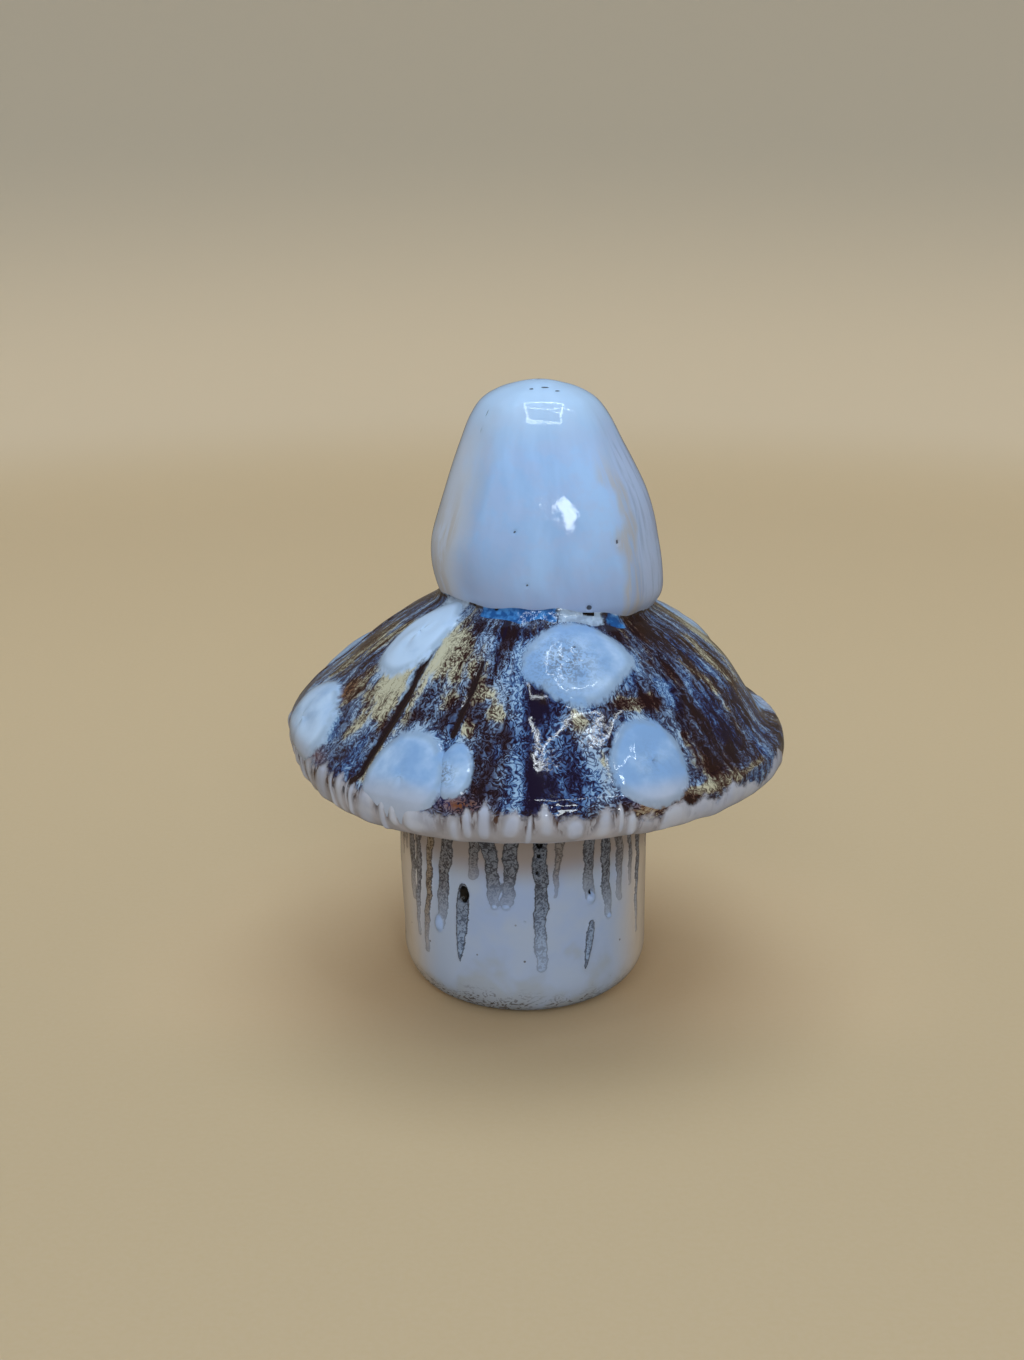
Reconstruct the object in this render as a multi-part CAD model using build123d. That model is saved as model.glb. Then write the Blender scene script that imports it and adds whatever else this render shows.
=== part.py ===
from build123d import *
from math import atan2, copysign, cos, hypot, pi, radians, sin
import os

# Hand-built ceramic mushroom ornament: a hollow stem on a closed foot, a conical cap with a
# pinched frill round its rim, a hollow dome luted to the crown, and raised pads on the cap.
# Millimetres, +Z up, origin on the table at the middle of the foot, front towards -Y.

# Foot and stem
foot_radius = 23.9
foot_round = 7.0
foot_edge = 1.0               # straight edge of the slab above its rounded corner
stem_top_radius = 24.4
stem_height = 64.0            # table to the flat seat under the cap
stem_wall_thickness = 5.0
seam_coil_size = 3.5          # leg of the coil pressed into the inside corner at the foot
collar_coil_size = 3.2        # leg of the coil pressed into the corner under the cap
foot_vent_radius = 3.0
foot_vent_offset = 9.0        # the kiln vent stands behind the middle of the foot

# Cap
cap_offset = 2.3              # the cap sits this far towards +X of the stem
cap_crown_rise = 12.5         # seat to crown
cap_rim_drop = 8.0            # seat to the edge of the glazed slope
cap_rim_radius = 46.8
cap_wall = 7.0                # shell thickness, measured square to the slope
cap_lip_depth = 7.5           # the plain lip that carries the frill
cap_lip_thickness = 3.7
cap_hollow_rise = 6.5         # hollow above the seat, inside the stem
cap_hollow_taper = 6.0
cap_vent_radius = 3.0
seat_margin = 0.6             # flat of the seat left beyond the collar coil

# Rim frill
frill_thickness = 3.7         # lip to the tips of the nubs
frill_height = 8.3
frill_nub_pitch = 3.5
frill_groove_depth = 1.7
frill_groove_width = 1.9      # at the tips of the nubs
frill_trim = 0.2              # clay beyond the tips that the turned outline takes off
frill_widest_drop = 3.0       # rim edge to the fullest part of the nubs
frill_top_thickness = 2.6
frill_foot_thickness = 2.9

# Dome
dome_height = 43.5
dome_half_width = 22.1
dome_half_depth = 17.4
dome_base_half_width = 19.0
dome_base_half_depth = 15.2
dome_widest_height = 9.0      # crown to the fullest section
dome_base_offset = 4.6        # middle of the dome's base and top, from the stem's axis
dome_top_offset = 2.7
dome_squareness = 2.6         # 2 is an ellipse, higher is squarer
dome_shoulder = 1.35          # exponents of the outline over the fullest section
dome_crown_power = 2.7
dome_top_flat = 3.8           # half width of the small flat at the very top
dome_wall = 4.5
dome_roof = 9.0               # clay left above the hollow
dome_sections = 7
oval_points = 20

# Neck coil, between the dome and the crown
neck_coil_width = 1.5
neck_coil_height = 3.0
neck_coil_top_width = 0.5
crown_ledge = 0.4

# Raised pads on the cap: degrees from the front towards +X, share of the way down the slope,
# and width
pad_height = 1.2
pads = {
    "spot_upper_left": (-56, 0.17, 18.0),
    "spot_left_edge": (-67, 0.82, 16.0),
    "spot_lower_left": (-32, 0.85, 14.0),
    "spot_lower_small": (-17.5, 0.86, 5.5),
    "spot_upper_centre": (17, 0.20, 18.5),
    "spot_lower_right": (27, 0.80, 15.5),
    "spot_right_edge": (96, 0.82, 15.0),
    "spot_back_upper_right": (109, 0.26, 15.0),
    "spot_back_right": (138, 0.78, 15.5),
    "spot_back_centre": (178, 0.74, 16.5),
    "spot_back_upper_left": (-150, 0.22, 17.0),
    "spot_back_left": (-118, 0.80, 15.0),
}

# Levels and radii that several pieces share
slab_top = foot_round + foot_edge
crown_level = stem_height + cap_crown_rise
rim_level = stem_height - cap_rim_drop
lip_level = rim_level - cap_lip_depth
dome_shift = abs(dome_base_offset - cap_offset)
crown_radius = dome_base_half_width + neck_coil_width + crown_ledge + dome_shift
seat_radius = stem_top_radius + collar_coil_size + abs(cap_offset) + seat_margin
hollow_radius = stem_top_radius - stem_wall_thickness - abs(cap_offset)
lip_radius = cap_rim_radius - frill_top_thickness

# The slope of the cap is part of a ball whose middle lies on the cap's axis
slope_run = cap_rim_radius - crown_radius
slope_fall = crown_level - rim_level
ball_level = (
    crown_radius**2 + crown_level**2 - cap_rim_radius**2 - rim_level**2
) / (2 * slope_fall)
ball_radius = hypot(crown_radius, crown_level - ball_level)
crown_angle = atan2(crown_radius, crown_level - ball_level)
rim_angle = atan2(cap_rim_radius, rim_level - ball_level)


def slope_angle(share):
    """Angle from the cap's axis, this share of the way from the crown to the rim."""
    return crown_angle + (rim_angle - crown_angle) * share


def slope_point(share):
    angle = slope_angle(share)
    return ball_radius * sin(angle), ball_level + ball_radius * cos(angle)


def slope_arc():
    return ThreePointArc(slope_point(0), slope_point(0.5), slope_point(1))


def turn(*edges):
    """A solid turned about the stem's axis from an outline given as radius and height."""
    return revolve(Plane.XZ * make_face(edges), axis=Axis.Z)


def turn_polygon(*points):
    return turn(Polyline(*points, close=True))


def stem_radius(level):
    share = (level - slab_top) / (stem_height - slab_top)
    return foot_radius + (stem_top_radius - foot_radius) * share


def base_slab():
    flat = foot_radius - foot_round
    corner = RadiusArc((flat, 0), (foot_radius, foot_round), -foot_round)
    rest = Polyline(
        (foot_radius, foot_round), (foot_radius, slab_top), (0, slab_top), (0, 0), (flat, 0)
    )
    vent = Pos(0, foot_vent_offset, slab_top / 2) * Cylinder(foot_vent_radius, 2 * slab_top)
    return turn(corner, rest) - vent


def base_seam_coil():
    inner = stem_radius(slab_top) - stem_wall_thickness
    top = slab_top + seam_coil_size
    inner_top = stem_radius(top) - stem_wall_thickness
    return turn_polygon((inner, slab_top), (inner_top, top), (inner - seam_coil_size, slab_top))


def stem_wall():
    return turn_polygon(
        (foot_radius - stem_wall_thickness, slab_top),
        (foot_radius, slab_top),
        (stem_top_radius, stem_height),
        (stem_top_radius - stem_wall_thickness, stem_height),
    )


def stem_collar_coil():
    low = stem_height - collar_coil_size
    return turn_polygon(
        (stem_radius(low), low),
        (stem_top_radius + collar_coil_size, stem_height),
        (stem_top_radius, stem_height),
    )


def cap_bowl():
    lip_inner = lip_radius - cap_lip_thickness
    shell_at_lip = rim_level + (cap_rim_radius - lip_inner) * slope_fall / slope_run
    underside = shell_at_lip - cap_wall * hypot(slope_run, slope_fall) / slope_run
    hollow_top = stem_height + cap_hollow_rise
    outline = Polyline(
        slope_point(1),
        (lip_radius, rim_level),
        (lip_radius, lip_level),
        (lip_inner, lip_level),
        (lip_inner, underside),
        (seat_radius, stem_height),
        (hollow_radius, stem_height),
        (hollow_radius - cap_hollow_taper, hollow_top),
        (cap_vent_radius, hollow_top),
        (cap_vent_radius, crown_level),
        slope_point(0),
    )
    return Pos(cap_offset, 0) * turn(slope_arc(), outline)


def rim_frill():
    foot = rim_level - frill_height
    ring = turn_polygon(
        (lip_radius, foot),
        (lip_radius + frill_foot_thickness, foot),
        (lip_radius + frill_thickness, rim_level - frill_widest_drop),
        (lip_radius + frill_top_thickness, rim_level),
        (lip_radius, rim_level),
    )
    widest = lip_radius + frill_thickness
    valley = widest - frill_groove_depth
    count = round(2 * pi * widest / frill_nub_pitch)
    half_groove = frill_groove_width / frill_nub_pitch / 2
    beyond = widest + frill_trim
    flank = half_groove * (beyond - valley) / (widest - valley)

    def at(radius, step):
        angle = 2 * pi * step / count
        return radius * cos(angle), radius * sin(angle)

    corners = [
        at(radius, nub + step)
        for nub in range(count)
        for radius, step in ((valley, 0), (beyond, flank), (beyond, 1 - flank))
    ]
    prism = Pos(0, 0, foot) * extrude(make_face(Polyline(*corners, close=True)), frill_height)
    return Pos(cap_offset, 0) * (ring & prism)


def oval(half_width, half_depth, centre, level):
    """A squared oval lying level, from a superellipse."""

    def bow(value):
        return copysign(abs(value) ** (2 / dome_squareness), value)

    turns = [2 * pi * i / oval_points for i in range(oval_points)]
    points = [
        (centre + half_width * bow(cos(t)), half_depth * bow(sin(t)), level) for t in turns
    ]
    return make_face(Spline(*points, periodic=True))


def dome_size(rise):
    """Half width, half depth and middle of the dome's outside, this far above the crown."""
    centre = dome_base_offset + (dome_top_offset - dome_base_offset) * rise / dome_height
    if rise < dome_widest_height:
        tuck = (1 - rise / dome_widest_height) ** 2
        width = dome_half_width - (dome_half_width - dome_base_half_width) * tuck
        depth = dome_half_depth - (dome_half_depth - dome_base_half_depth) * tuck
        return width, depth, centre
    top_share = (1 - (dome_top_flat / dome_half_width) ** dome_crown_power) ** (1 / dome_shoulder)
    share = top_share * (rise - dome_widest_height) / (dome_height - dome_widest_height)
    narrowing = (1 - share**dome_shoulder) ** (1 / dome_crown_power)
    return dome_half_width * narrowing, dome_half_depth * narrowing, centre


def dome_oval(rise, inset=0.0):
    width, depth, centre = dome_size(rise)
    return oval(width - inset, depth - inset, centre, crown_level + rise)


def top_dome():
    over = dome_height - dome_widest_height
    rises = [0, dome_widest_height / 2]
    rises += [
        dome_widest_height + over * sin(pi / 2 * i / dome_sections)
        for i in range(dome_sections + 1)
    ]
    outside = loft([dome_oval(rise) for rise in rises])
    hollow_rises = [0, dome_widest_height, dome_widest_height + over / 2, dome_height - dome_roof]
    hollow = loft([dome_oval(rise, dome_wall) for rise in hollow_rises], ruled=True)
    return outside - hollow


def neck_coil(dome):
    foot = dome_oval(0, -neck_coil_width)
    top = dome_oval(neck_coil_height, -neck_coil_top_width)
    outside = loft([foot, top], ruled=True)
    core = loft([dome_oval(0, dome_wall / 2), dome_oval(neck_coil_height, dome_wall / 2)], ruled=True)
    return outside - core - dome


def slope_core():
    """Everything inside the cap's slope, between the rim and the crown."""
    outline = Polyline(slope_point(1), (0, rim_level), (0, crown_level), slope_point(0))
    return turn(slope_arc(), outline)


def pad(azimuth, share, width, core):
    """A lens on the slope: a smaller ball through the pad's crown and edge, less the cap."""
    rise = pad_height + (width / 2) ** 2 / (2 * ball_radius)
    pad_radius = ((width / 2) ** 2 + rise**2) / (2 * rise)
    out = Vector(sin(radians(azimuth)), -cos(radians(azimuth)), 0)
    sideways = Vector(0, 0, 1).cross(out)
    angle = slope_angle(share)
    normal = out * sin(angle) + Vector(0, 0, cos(angle))
    middle = Vector(0, 0, ball_level) + normal * (ball_radius + pad_height - pad_radius)
    ball = Plane(middle, x_dir=-normal, z_dir=sideways) * Sphere(pad_radius)
    reach = 2 * (cap_rim_radius + width)
    band = Pos(0, 0, (rim_level + crown_level) / 2) * Box(reach, reach, slope_fall)
    return Pos(cap_offset, 0) * (ball & band - core)


def main():
    os.makedirs("parts", exist_ok=True)
    dome = top_dome()
    core = slope_core()
    pieces = {
        "base_slab": base_slab(),
        "base_seam_coil": base_seam_coil(),
        "stem_wall": stem_wall(),
        "stem_collar_coil": stem_collar_coil(),
        "cap_bowl": cap_bowl(),
        "rim_frill": rim_frill(),
        "neck_coil": neck_coil(dome),
        "top_dome": dome,
    }
    for name, (azimuth, share, width) in pads.items():
        pieces[name] = pad(azimuth, share, width, core)
    for name, piece in pieces.items():
        export_step(piece, f"parts/{name}.step")


main()
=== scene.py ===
import math

import bpy
import numpy as np
from mathutils import Matrix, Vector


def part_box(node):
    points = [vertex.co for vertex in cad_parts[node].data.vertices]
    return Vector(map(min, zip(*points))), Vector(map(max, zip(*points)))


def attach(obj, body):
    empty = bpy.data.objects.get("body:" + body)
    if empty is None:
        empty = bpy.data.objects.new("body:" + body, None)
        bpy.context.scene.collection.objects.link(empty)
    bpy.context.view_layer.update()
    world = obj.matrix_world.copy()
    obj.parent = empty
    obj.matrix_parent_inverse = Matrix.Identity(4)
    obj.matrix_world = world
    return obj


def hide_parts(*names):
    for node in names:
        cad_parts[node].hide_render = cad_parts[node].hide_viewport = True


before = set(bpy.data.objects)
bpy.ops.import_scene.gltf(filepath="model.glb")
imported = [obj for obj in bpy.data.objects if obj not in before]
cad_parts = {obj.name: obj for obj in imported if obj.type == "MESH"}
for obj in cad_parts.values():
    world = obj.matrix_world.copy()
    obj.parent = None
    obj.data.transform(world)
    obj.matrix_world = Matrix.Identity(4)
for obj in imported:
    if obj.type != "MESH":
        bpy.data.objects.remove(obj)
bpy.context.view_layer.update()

turn = 2 * math.pi
millimetre = 0.001        # in metres
print("frame loaded:", len(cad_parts), "nodes")


# Everything up to the stage is worked out in millimetres; a mesh is turned into metres when it is made.
# Around is an angle in radians from the photographed side (-Y) towards +X.

def nodeBox(*names):
    # lowest and highest corner of some nodes together
    corners = np.array([[tuple(corner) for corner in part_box(name)] for name in names]) / millimetre
    return corners[:, 0].min(axis=0), corners[:, 1].max(axis=0)


frillLow, frillHigh = nodeBox("rim_frill")
capLow, capHigh = nodeBox("cap_bowl")
domeLow = nodeBox("top_dome")[0]
stemHigh = nodeBox("base_slab", "stem_wall")[1]
capAxis = (frillLow + frillHigh) / 2
rimReach = (frillHigh[0] - frillLow[0]) / 2


# Shape helpers

def smoothThrough(knots, count):
    # Catmull-Rom: each stretch is a cubic whose slope at a knot is half the step between its two neighbours
    knots = np.asarray(knots, float)
    place = np.linspace(0, len(knots) - 1, count)
    start = np.minimum(place.astype(int), len(knots) - 2)
    u = (place - start)[:, None]
    padded = np.vstack([2 * knots[0] - knots[1], knots, 2 * knots[-1] - knots[-2]])
    a, b, c, d = (padded[start + step] for step in range(4))
    return b + 0.5 * u * (c - a + u * (2 * a - 5 * b + 4 * c - d + u * (3 * (b - c) + d - a)))


def unevenness(around, along, high, seed, terms=10, mostWaves=6, shortest=14.0):
    # sum of cosine waves with whole numbers of waves round the piece, scaled to about the height
    rng = np.random.default_rng(seed)
    total = np.zeros(np.broadcast(around, along).shape)
    for term in range(terms):
        waves = rng.integers(0, mostWaves + 1)
        climb = rng.uniform(-1, 1) * turn / shortest
        total = total + np.cos(waves * around + climb * along + rng.uniform(0, turn))
    return high * total / math.sqrt(terms / 2)


def smoothStep(value, low, high):
    # 0 at low and 1 at high, with the cubic between them that starts and ends level
    share = np.clip((value - low) / (high - low), 0, 1)
    return share * share * (3 - 2 * share)


def bump(distance, reach):
    # bell curve that is 1 at no distance and about a third at its reach
    return np.exp(-(distance / reach) ** 2)


def turnGap(a, b):
    # the shorter way round between two angles
    return (a - b + math.pi) % turn - math.pi


def marksOn(around, level, reach, marks):
    # highest in the middle of a mark, falling by 1 to its edge: angle, height, half width, half height
    peak = 1.6
    found = np.zeros(around.shape)
    for angle, height, half, tall in marks:
        across = turnGap(around, math.radians(angle)) * reach
        found = np.maximum(found, peak - np.hypot(across / half, (level - height) / tall))
    return found


def ringGrid(columns, rows):
    # the angle of each column and the value of each row, over a whole grid
    return np.meshgrid(np.arange(columns) * turn / columns, rows)


def turned(reach, around, level, middle=0.0):
    # points at this reach from an upright axis: the sine of the angle across, its cosine to the front
    across, back = middle + reach * np.sin(around), -reach * np.cos(around)
    return np.stack(np.broadcast_arrays(across, back, level), -1)


def makeMesh(name, points, poles=(None, None), ringClosed=False, values=None):
    # rows of points that wrap round; a pole closes the first or last row with a fan, and a closed
    # ring joins the last row to the first; values are painted on the points
    rows, columns = points.shape[:2]
    row = np.arange(rows if ringClosed else rows - 1)[:, None]
    column = np.arange(columns)[None, :]
    here = row * columns
    above = (row + 1) % rows * columns
    beside = (column + 1) % columns
    quads = np.stack([here + column, here + beside, above + beside, above + column], -1).reshape(-1, 4)
    places = [points.reshape(-1, 3)]
    fans = [np.zeros((0, 3), int)]
    for end, pole in enumerate(poles):
        if pole is not None:
            tip = np.full(columns, sum(map(len, places)))
            edge = 0 if end == 0 else (rows - 1) * columns
            pair = (beside[0], column[0]) if end == 0 else (column[0], beside[0])
            fans.append(np.stack([edge + pair[0], edge + pair[1], tip], -1))
            places.append(np.asarray(pole, float).reshape(1, 3))
    places = np.vstack(places)
    fans = np.vstack(fans)
    corners = np.concatenate([quads.ravel(), fans.ravel()])
    sizes = np.concatenate([np.full(len(quads), 4), np.full(len(fans), 3)])
    mesh = bpy.data.meshes.new(name)
    mesh.vertices.add(len(places))
    mesh.vertices.foreach_set("co", (places * millimetre).astype(np.float32).ravel())
    mesh.loops.add(len(corners))
    mesh.loops.foreach_set("vertex_index", corners.astype(np.int32))
    mesh.polygons.add(len(sizes))
    mesh.polygons.foreach_set("loop_start", (np.cumsum(sizes) - sizes).astype(np.int32))
    mesh.update(calc_edges=True)
    mesh.polygons.foreach_set("use_smooth", np.ones(len(sizes), bool))
    extra = len(places) - rows * columns
    for key, value in (values or {}).items():
        wide = value.ndim == 3
        flat = value.reshape(rows * columns, -1)
        flat = np.vstack([flat, np.repeat(flat[-1:], extra, axis=0)]).astype(np.float32)
        layer = mesh.attributes.new(key, "FLOAT_VECTOR" if wide else "FLOAT", "POINT")
        layer.data.foreach_set("vector" if wide else "value", flat.ravel())
    mesh.validate()
    shape = bpy.data.objects.new(name, mesh)
    bpy.context.scene.collection.objects.link(shape)
    print(name, "triangles:", len(quads) * 2 + len(fans))
    return shape


def makePiece(name, points, *ends, **settings):
    # a mesh that rides on the part's one body
    piece = makeMesh(name, points, *ends, **settings)
    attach(piece, "root")
    return piece


# Shader helpers

class Wire:
    # the output of a node, which adds, subtracts and multiplies like a number
    def __init__(self, bench, socket):
        self.bench = bench
        self.socket = socket

    def __add__(self, other):
        return self.bench.calc("ADD", self, other)

    def __sub__(self, other):
        return self.bench.calc("SUBTRACT", self, other)

    def __rsub__(self, other):
        return self.bench.calc("SUBTRACT", other, self)

    def __mul__(self, other):
        return self.bench.calc("MULTIPLY", self, other)


class Bench:
    # puts nodes into one tree: wires are linked, plain values are set on the socket
    def __init__(self, tree):
        self.tree = tree

    def feed(self, sockets, values):
        for key, value in values.items():
            socket = sockets[key]
            if isinstance(value, Wire):
                self.tree.links.new(value.socket, socket)
            elif socket.type == "RGBA":
                socket.default_value = (*value, 1.0)
            else:
                socket.default_value = value

    def node(self, kind, values=None, **settings):
        node = self.tree.nodes.new("ShaderNode" + kind)
        for key, value in settings.items():
            setattr(node, key, value)
        self.feed(node.inputs, values or {})
        return node

    def out(self, node, key=0):
        return Wire(self, node.outputs[key])

    def wires(self, node):
        return {output.name: Wire(self, output) for output in node.outputs}

    def calc(self, operation, a, b=0.0):
        return self.out(self.node("Math", {0: a, 1: b}, operation=operation))

    def vector(self, operation, a, b):
        return self.out(self.node("VectorMath", {0: a, 1: b}, operation=operation))

    def axes(self, place):
        node = self.node("SeparateXYZ", {0: place})
        return [self.out(node, axis) for axis in range(3)]

    def blend(self, share, low, high):
        # from one colour to another; the node keeps the share between 0 and 1
        return self.out(self.node("Mix", {0: share, 6: low, 7: high}, data_type="RGBA"), 2)

    def step(self, value, low, high):
        # 0 at low and 1 at high, with a smooth curve between; high may be the smaller one
        values = {"Value": value, "From Min": low, "From Max": high}
        return self.out(self.node("MapRange", values, interpolation_type="SMOOTHSTEP"))

    def tint(self, value, limits, low, high):
        # one colour below the limits and another above them
        return self.blend(self.step(value, *limits), low, high)

    def lay(self, colour, share, strength, coat):
        # a coat over the colour: the share says where, the strength how thickly
        return self.blend(share * strength, colour, coat)

    def wash(self, colour, value, low, high, strength, coat):
        # a coat that comes up as the value goes from low to high
        return self.lay(colour, self.step(value, low, high), strength, coat)

    def noise(self, place, scale, detail=2.0, roughness=0.5, distortion=0.0):
        # a cloud from 0 to 1; a scale of three numbers draws it out along the axes
        if isinstance(scale, tuple):
            place = self.vector("MULTIPLY", place, scale)
            scale = 1.0
        values = {"Vector": place, "Scale": scale, "Detail": detail}
        return self.out(self.node("TexNoise", {**values, "Roughness": roughness, "Distortion": distortion}))

    def centre(self, cloud, strength):
        # the cloud moved so that it swings about 0, and made stronger
        return (cloud - 0.5) * strength

    def swing(self, place, strength, *cloud):
        # a new cloud, centred in that way
        return self.centre(self.noise(place, *cloud), strength)

    def bent(self, place, strength, scale, detail):
        # the place moved along each axis by a cloud that swings about 0
        cloud = self.out(self.node("TexNoise", {"Vector": place, "Scale": scale, "Detail": detail}), "Color")
        cloud = self.vector("SUBTRACT", cloud, (0.5,) * 3)
        return self.vector("ADD", place, self.vector("MULTIPLY", cloud, (strength,) * 3))

    def specks(self, place, scale, share, edge):
        # a round speck in the middle of some cells, that share of them; edge gives its outer and inner reach
        cell = self.node("TexVoronoi", {"Vector": place, "Scale": scale})
        drawn = self.out(self.node("SeparateColor", {0: self.out(cell, "Color")}))
        return self.step(self.out(cell, "Distance"), *edge) * self.calc("LESS_THAN", drawn, share)

    def ramp(self, value, stops):
        node = self.node("ValToRGB", {0: value})
        marks = node.color_ramp.elements
        for place, colour in stops[1:-1]:
            marks.new(place).color = (*colour, 1.0)
        for mark, (place, colour) in zip((marks[0], marks[-1]), (stops[0], stops[-1])):
            mark.position = place
            mark.color = (*colour, 1.0)
        return self.out(node)

    def attribute(self, name, output="Fac"):
        return self.out(self.node("Attribute", attribute_name=name), output)

    def objectMm(self):
        place = self.out(self.node("TexCoord"), "Object")
        return self.vector("MULTIPLY", place, (1 / millimetre,) * 3)

    def group(self, tree, values):
        return self.wires(self.node("Group", values, node_tree=tree))


def newGroup(name, inputs, outputs):
    # an empty shared effect: inputs with their usual values, none for a place, and outputs with their kinds
    tree = bpy.data.node_groups.new(name, "ShaderNodeTree")
    for key, value in inputs.items():
        kind = "NodeSocketVector" if value is None else "NodeSocketFloat"
        socket = tree.interface.new_socket(key, in_out="INPUT", socket_type=kind)
        if value is not None:
            socket.default_value = value
    for key, kind in outputs.items():
        tree.interface.new_socket(key, in_out="OUTPUT", socket_type="NodeSocket" + kind)
    bench = Bench(tree)
    source = bench.wires(tree.nodes.new("NodeGroupInput"))
    sink = tree.nodes.new("NodeGroupOutput").inputs
    return bench, source, sink


def newMaterial(name):
    material = bpy.data.materials.new(name)
    material.use_nodes = True
    tree = material.node_tree
    return material, Bench(tree), tree.nodes["Principled BSDF"].inputs


def wear(piece, material):
    piece.data.materials.clear()
    piece.data.materials.append(material)


# Glaze skin: the soft orange-peel waves, fine ripple and scattered pinholes of a fired glaze.
# In this dictionary and those below, a cloud is given by its scale, detail, roughness and distortion,
# a swing by its strength and then its cloud, a coat by its strength and its colour, and a wash by its
# limits and then its coat. A name that ends in At gives the limits of a step.

glaze = {
    "wave": (2.0, 0.4),       # detail and roughness; each material gives the scale
    "ripple": (1.4, 2.0, 0.5),
    "holeEdge": (0.11, 0.06),
    "holeDeep": 0.15,
    "dull": (0.12, 3.0, 0.6),
    "leastRough": 0.02,
    "roughBy": 0.06,
    "ior": 1.52,
}


def makeGlazeSkin():
    # height: waves and a share of ripple, less the holes
    usual = {"Wave Scale": 0.25, "Wave Depth": 0.12, "Ripple": 0.1, "Pinholes": 0.1, "Pinhole Scale": 0.4}
    outputs = dict.fromkeys(("Height", "Pinhole", "Roughness"), "Float")
    bench, source, sink = newGroup("glazeSkin", {"Vector": None, **usual}, outputs)
    place = source["Vector"]
    wave = bench.noise(place, source["Wave Scale"], *glaze["wave"])
    ripple = bench.noise(place, *glaze["ripple"])
    hole = bench.specks(place, source["Pinhole Scale"], source["Pinholes"], glaze["holeEdge"])
    height = (wave + ripple * source["Ripple"]) * source["Wave Depth"] - hole * glaze["holeDeep"]
    rough = bench.noise(place, *glaze["dull"]) * glaze["roughBy"] + glaze["leastRough"]
    bench.feed(sink, {"Height": height, "Pinhole": hole, "Roughness": rough})
    return bench.tree


def finishGlaze(bench, inputs, colour, height, rough):
    # colour, roughness and a bump whose height is in millimetres
    lift = bench.out(bench.node("Bump", {"Height": height, "Distance": millimetre, "Strength": 1.0}))
    bench.feed(inputs, {"Base Color": colour, "Roughness": rough, "IOR": glaze["ior"], "Normal": lift})


glazeSkin = makeGlazeSkin()


# Fur glaze: streaks and worm marks that run downhill, from a dark ground to pale; the hue turns the same
# steps of light towards brown and cream, or towards blue

fur = {
    "brown": [
        (0.017, 0.006, 0.006), (0.042, 0.020, 0.018), (0.105, 0.082, 0.066),
        (0.27, 0.27, 0.21), (0.46, 0.47, 0.37)],
    "slate": [
        (0.015, 0.007, 0.010), (0.030, 0.026, 0.048), (0.062, 0.086, 0.165),
        (0.14, 0.22, 0.37), (0.30, 0.43, 0.62)],
    "blue": [
        (0.010, 0.006, 0.021), (0.022, 0.026, 0.082), (0.045, 0.100, 0.26),
        (0.12, 0.23, 0.44), (0.28, 0.44, 0.66)],
    "ladder": (0.03, 0.23),   # level of the first step, and from each step to the next
    "amber": (0.15, 0.055, 0.022),
    "stroke": (0.018, 0.010, 0.011),
    "sway": (3.0, 0.32, 2.0),
    "drift": (1.9, (0.24, 0.24, 0.085), 3.0, 0.55),
    "streak": (1.0, (0.95, 0.95, 0.11), 3.0, 0.55),
    "fine": (0.52, (2.3, 2.3, 1.4), 2.0, 0.55, 0.9),
    "cross": (8.0, (1.12, 1.12, 0.78), 1.0, 0.55, 1.2),
    "hueDrift": (1.8, (0.27, 0.27, 0.10), 3.0, 0.55),
    "ragged": (1.6, (0.9, 0.9, 0.5), 3.0, 0.55),
    "wormMiddle": 0.58,
    "wormBy": (0.78, 0.36),   # strength of the worm marks, and how much of it is lost where it is combed
    "streakBy": (0.5, 1.1),   # strength of the streaks, and how much more where it is combed
    "marksAt": (-0.12, 0.40),
    "slateAt": (0.18, 0.44),
    "blueAt": (0.54, 0.84),
    "amberAt": (0.25, 0.5),
    "strokeAt": (1.15, 0.55),
}


def makeFurGlaze():
    # level: the light that is asked for, plus drifts, streaks and marks; it picks a step of each ladder
    usual = {"Light": 0.45, "Hue": 0.5, "Comb": 0.5, "Amber": 0.0, "Line": 9.0}
    bench, source, sink = newGroup("furGlaze", {"Flow": None, **usual}, {"Colour": "Color", "Level": "Float"})
    flow, comb = source["Flow"], source["Comb"]
    swayed = bench.bent(flow, *fur["sway"])
    # worm lines: dark where a cloud crosses its middle value, light between
    cross = bench.calc("ABSOLUTE", bench.swing(swayed, *fur["cross"]))
    worm = bench.calc("MINIMUM", cross, 1.0) - fur["wormMiddle"]
    worm = worm * (fur["wormBy"][0] - comb * fur["wormBy"][1])
    streak = bench.swing(swayed, *fur["streak"]) * (comb * fur["streakBy"][1] + fur["streakBy"][0])
    level = bench.swing(flow, *fur["drift"]) + streak + source["Light"]
    # the dark ground is plain, and the marks come up where the glaze is lighter
    marks = (bench.swing(swayed, *fur["fine"]) + worm) * bench.step(level, *fur["marksAt"])
    level = level + marks
    hue = source["Hue"] + bench.swing(swayed, *fur["hueDrift"])
    first, gap = fur["ladder"]
    brown, slate, blue = (
        bench.ramp(level, [(first + gap * k, colour) for k, colour in enumerate(fur[tint])])
        for tint in ("brown", "slate", "blue"))
    colour = bench.tint(hue, fur["slateAt"], brown, slate)
    colour = bench.tint(hue, fur["blueAt"], colour, blue)
    colour = bench.blend(source["Amber"] * bench.step(level, *fur["amberAt"]), colour, fur["amber"])
    line = source["Line"] + bench.swing(flow, *fur["ragged"])
    colour = bench.tint(line, fur["strokeAt"], colour, fur["stroke"])
    bench.feed(sink, {"Colour": colour, "Level": level})
    return bench.tree


furGlaze = makeFurGlaze()
print("shared glaze effects ready")


def furOn(bench):
    # the fur glaze fed from what is painted on a piece
    painted = {key.capitalize(): bench.attribute(key) for key in ("light", "hue", "comb", "amber", "line")}
    return bench.group(furGlaze, {"Flow": bench.attribute("flow", "Vector"), **painted})


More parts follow.
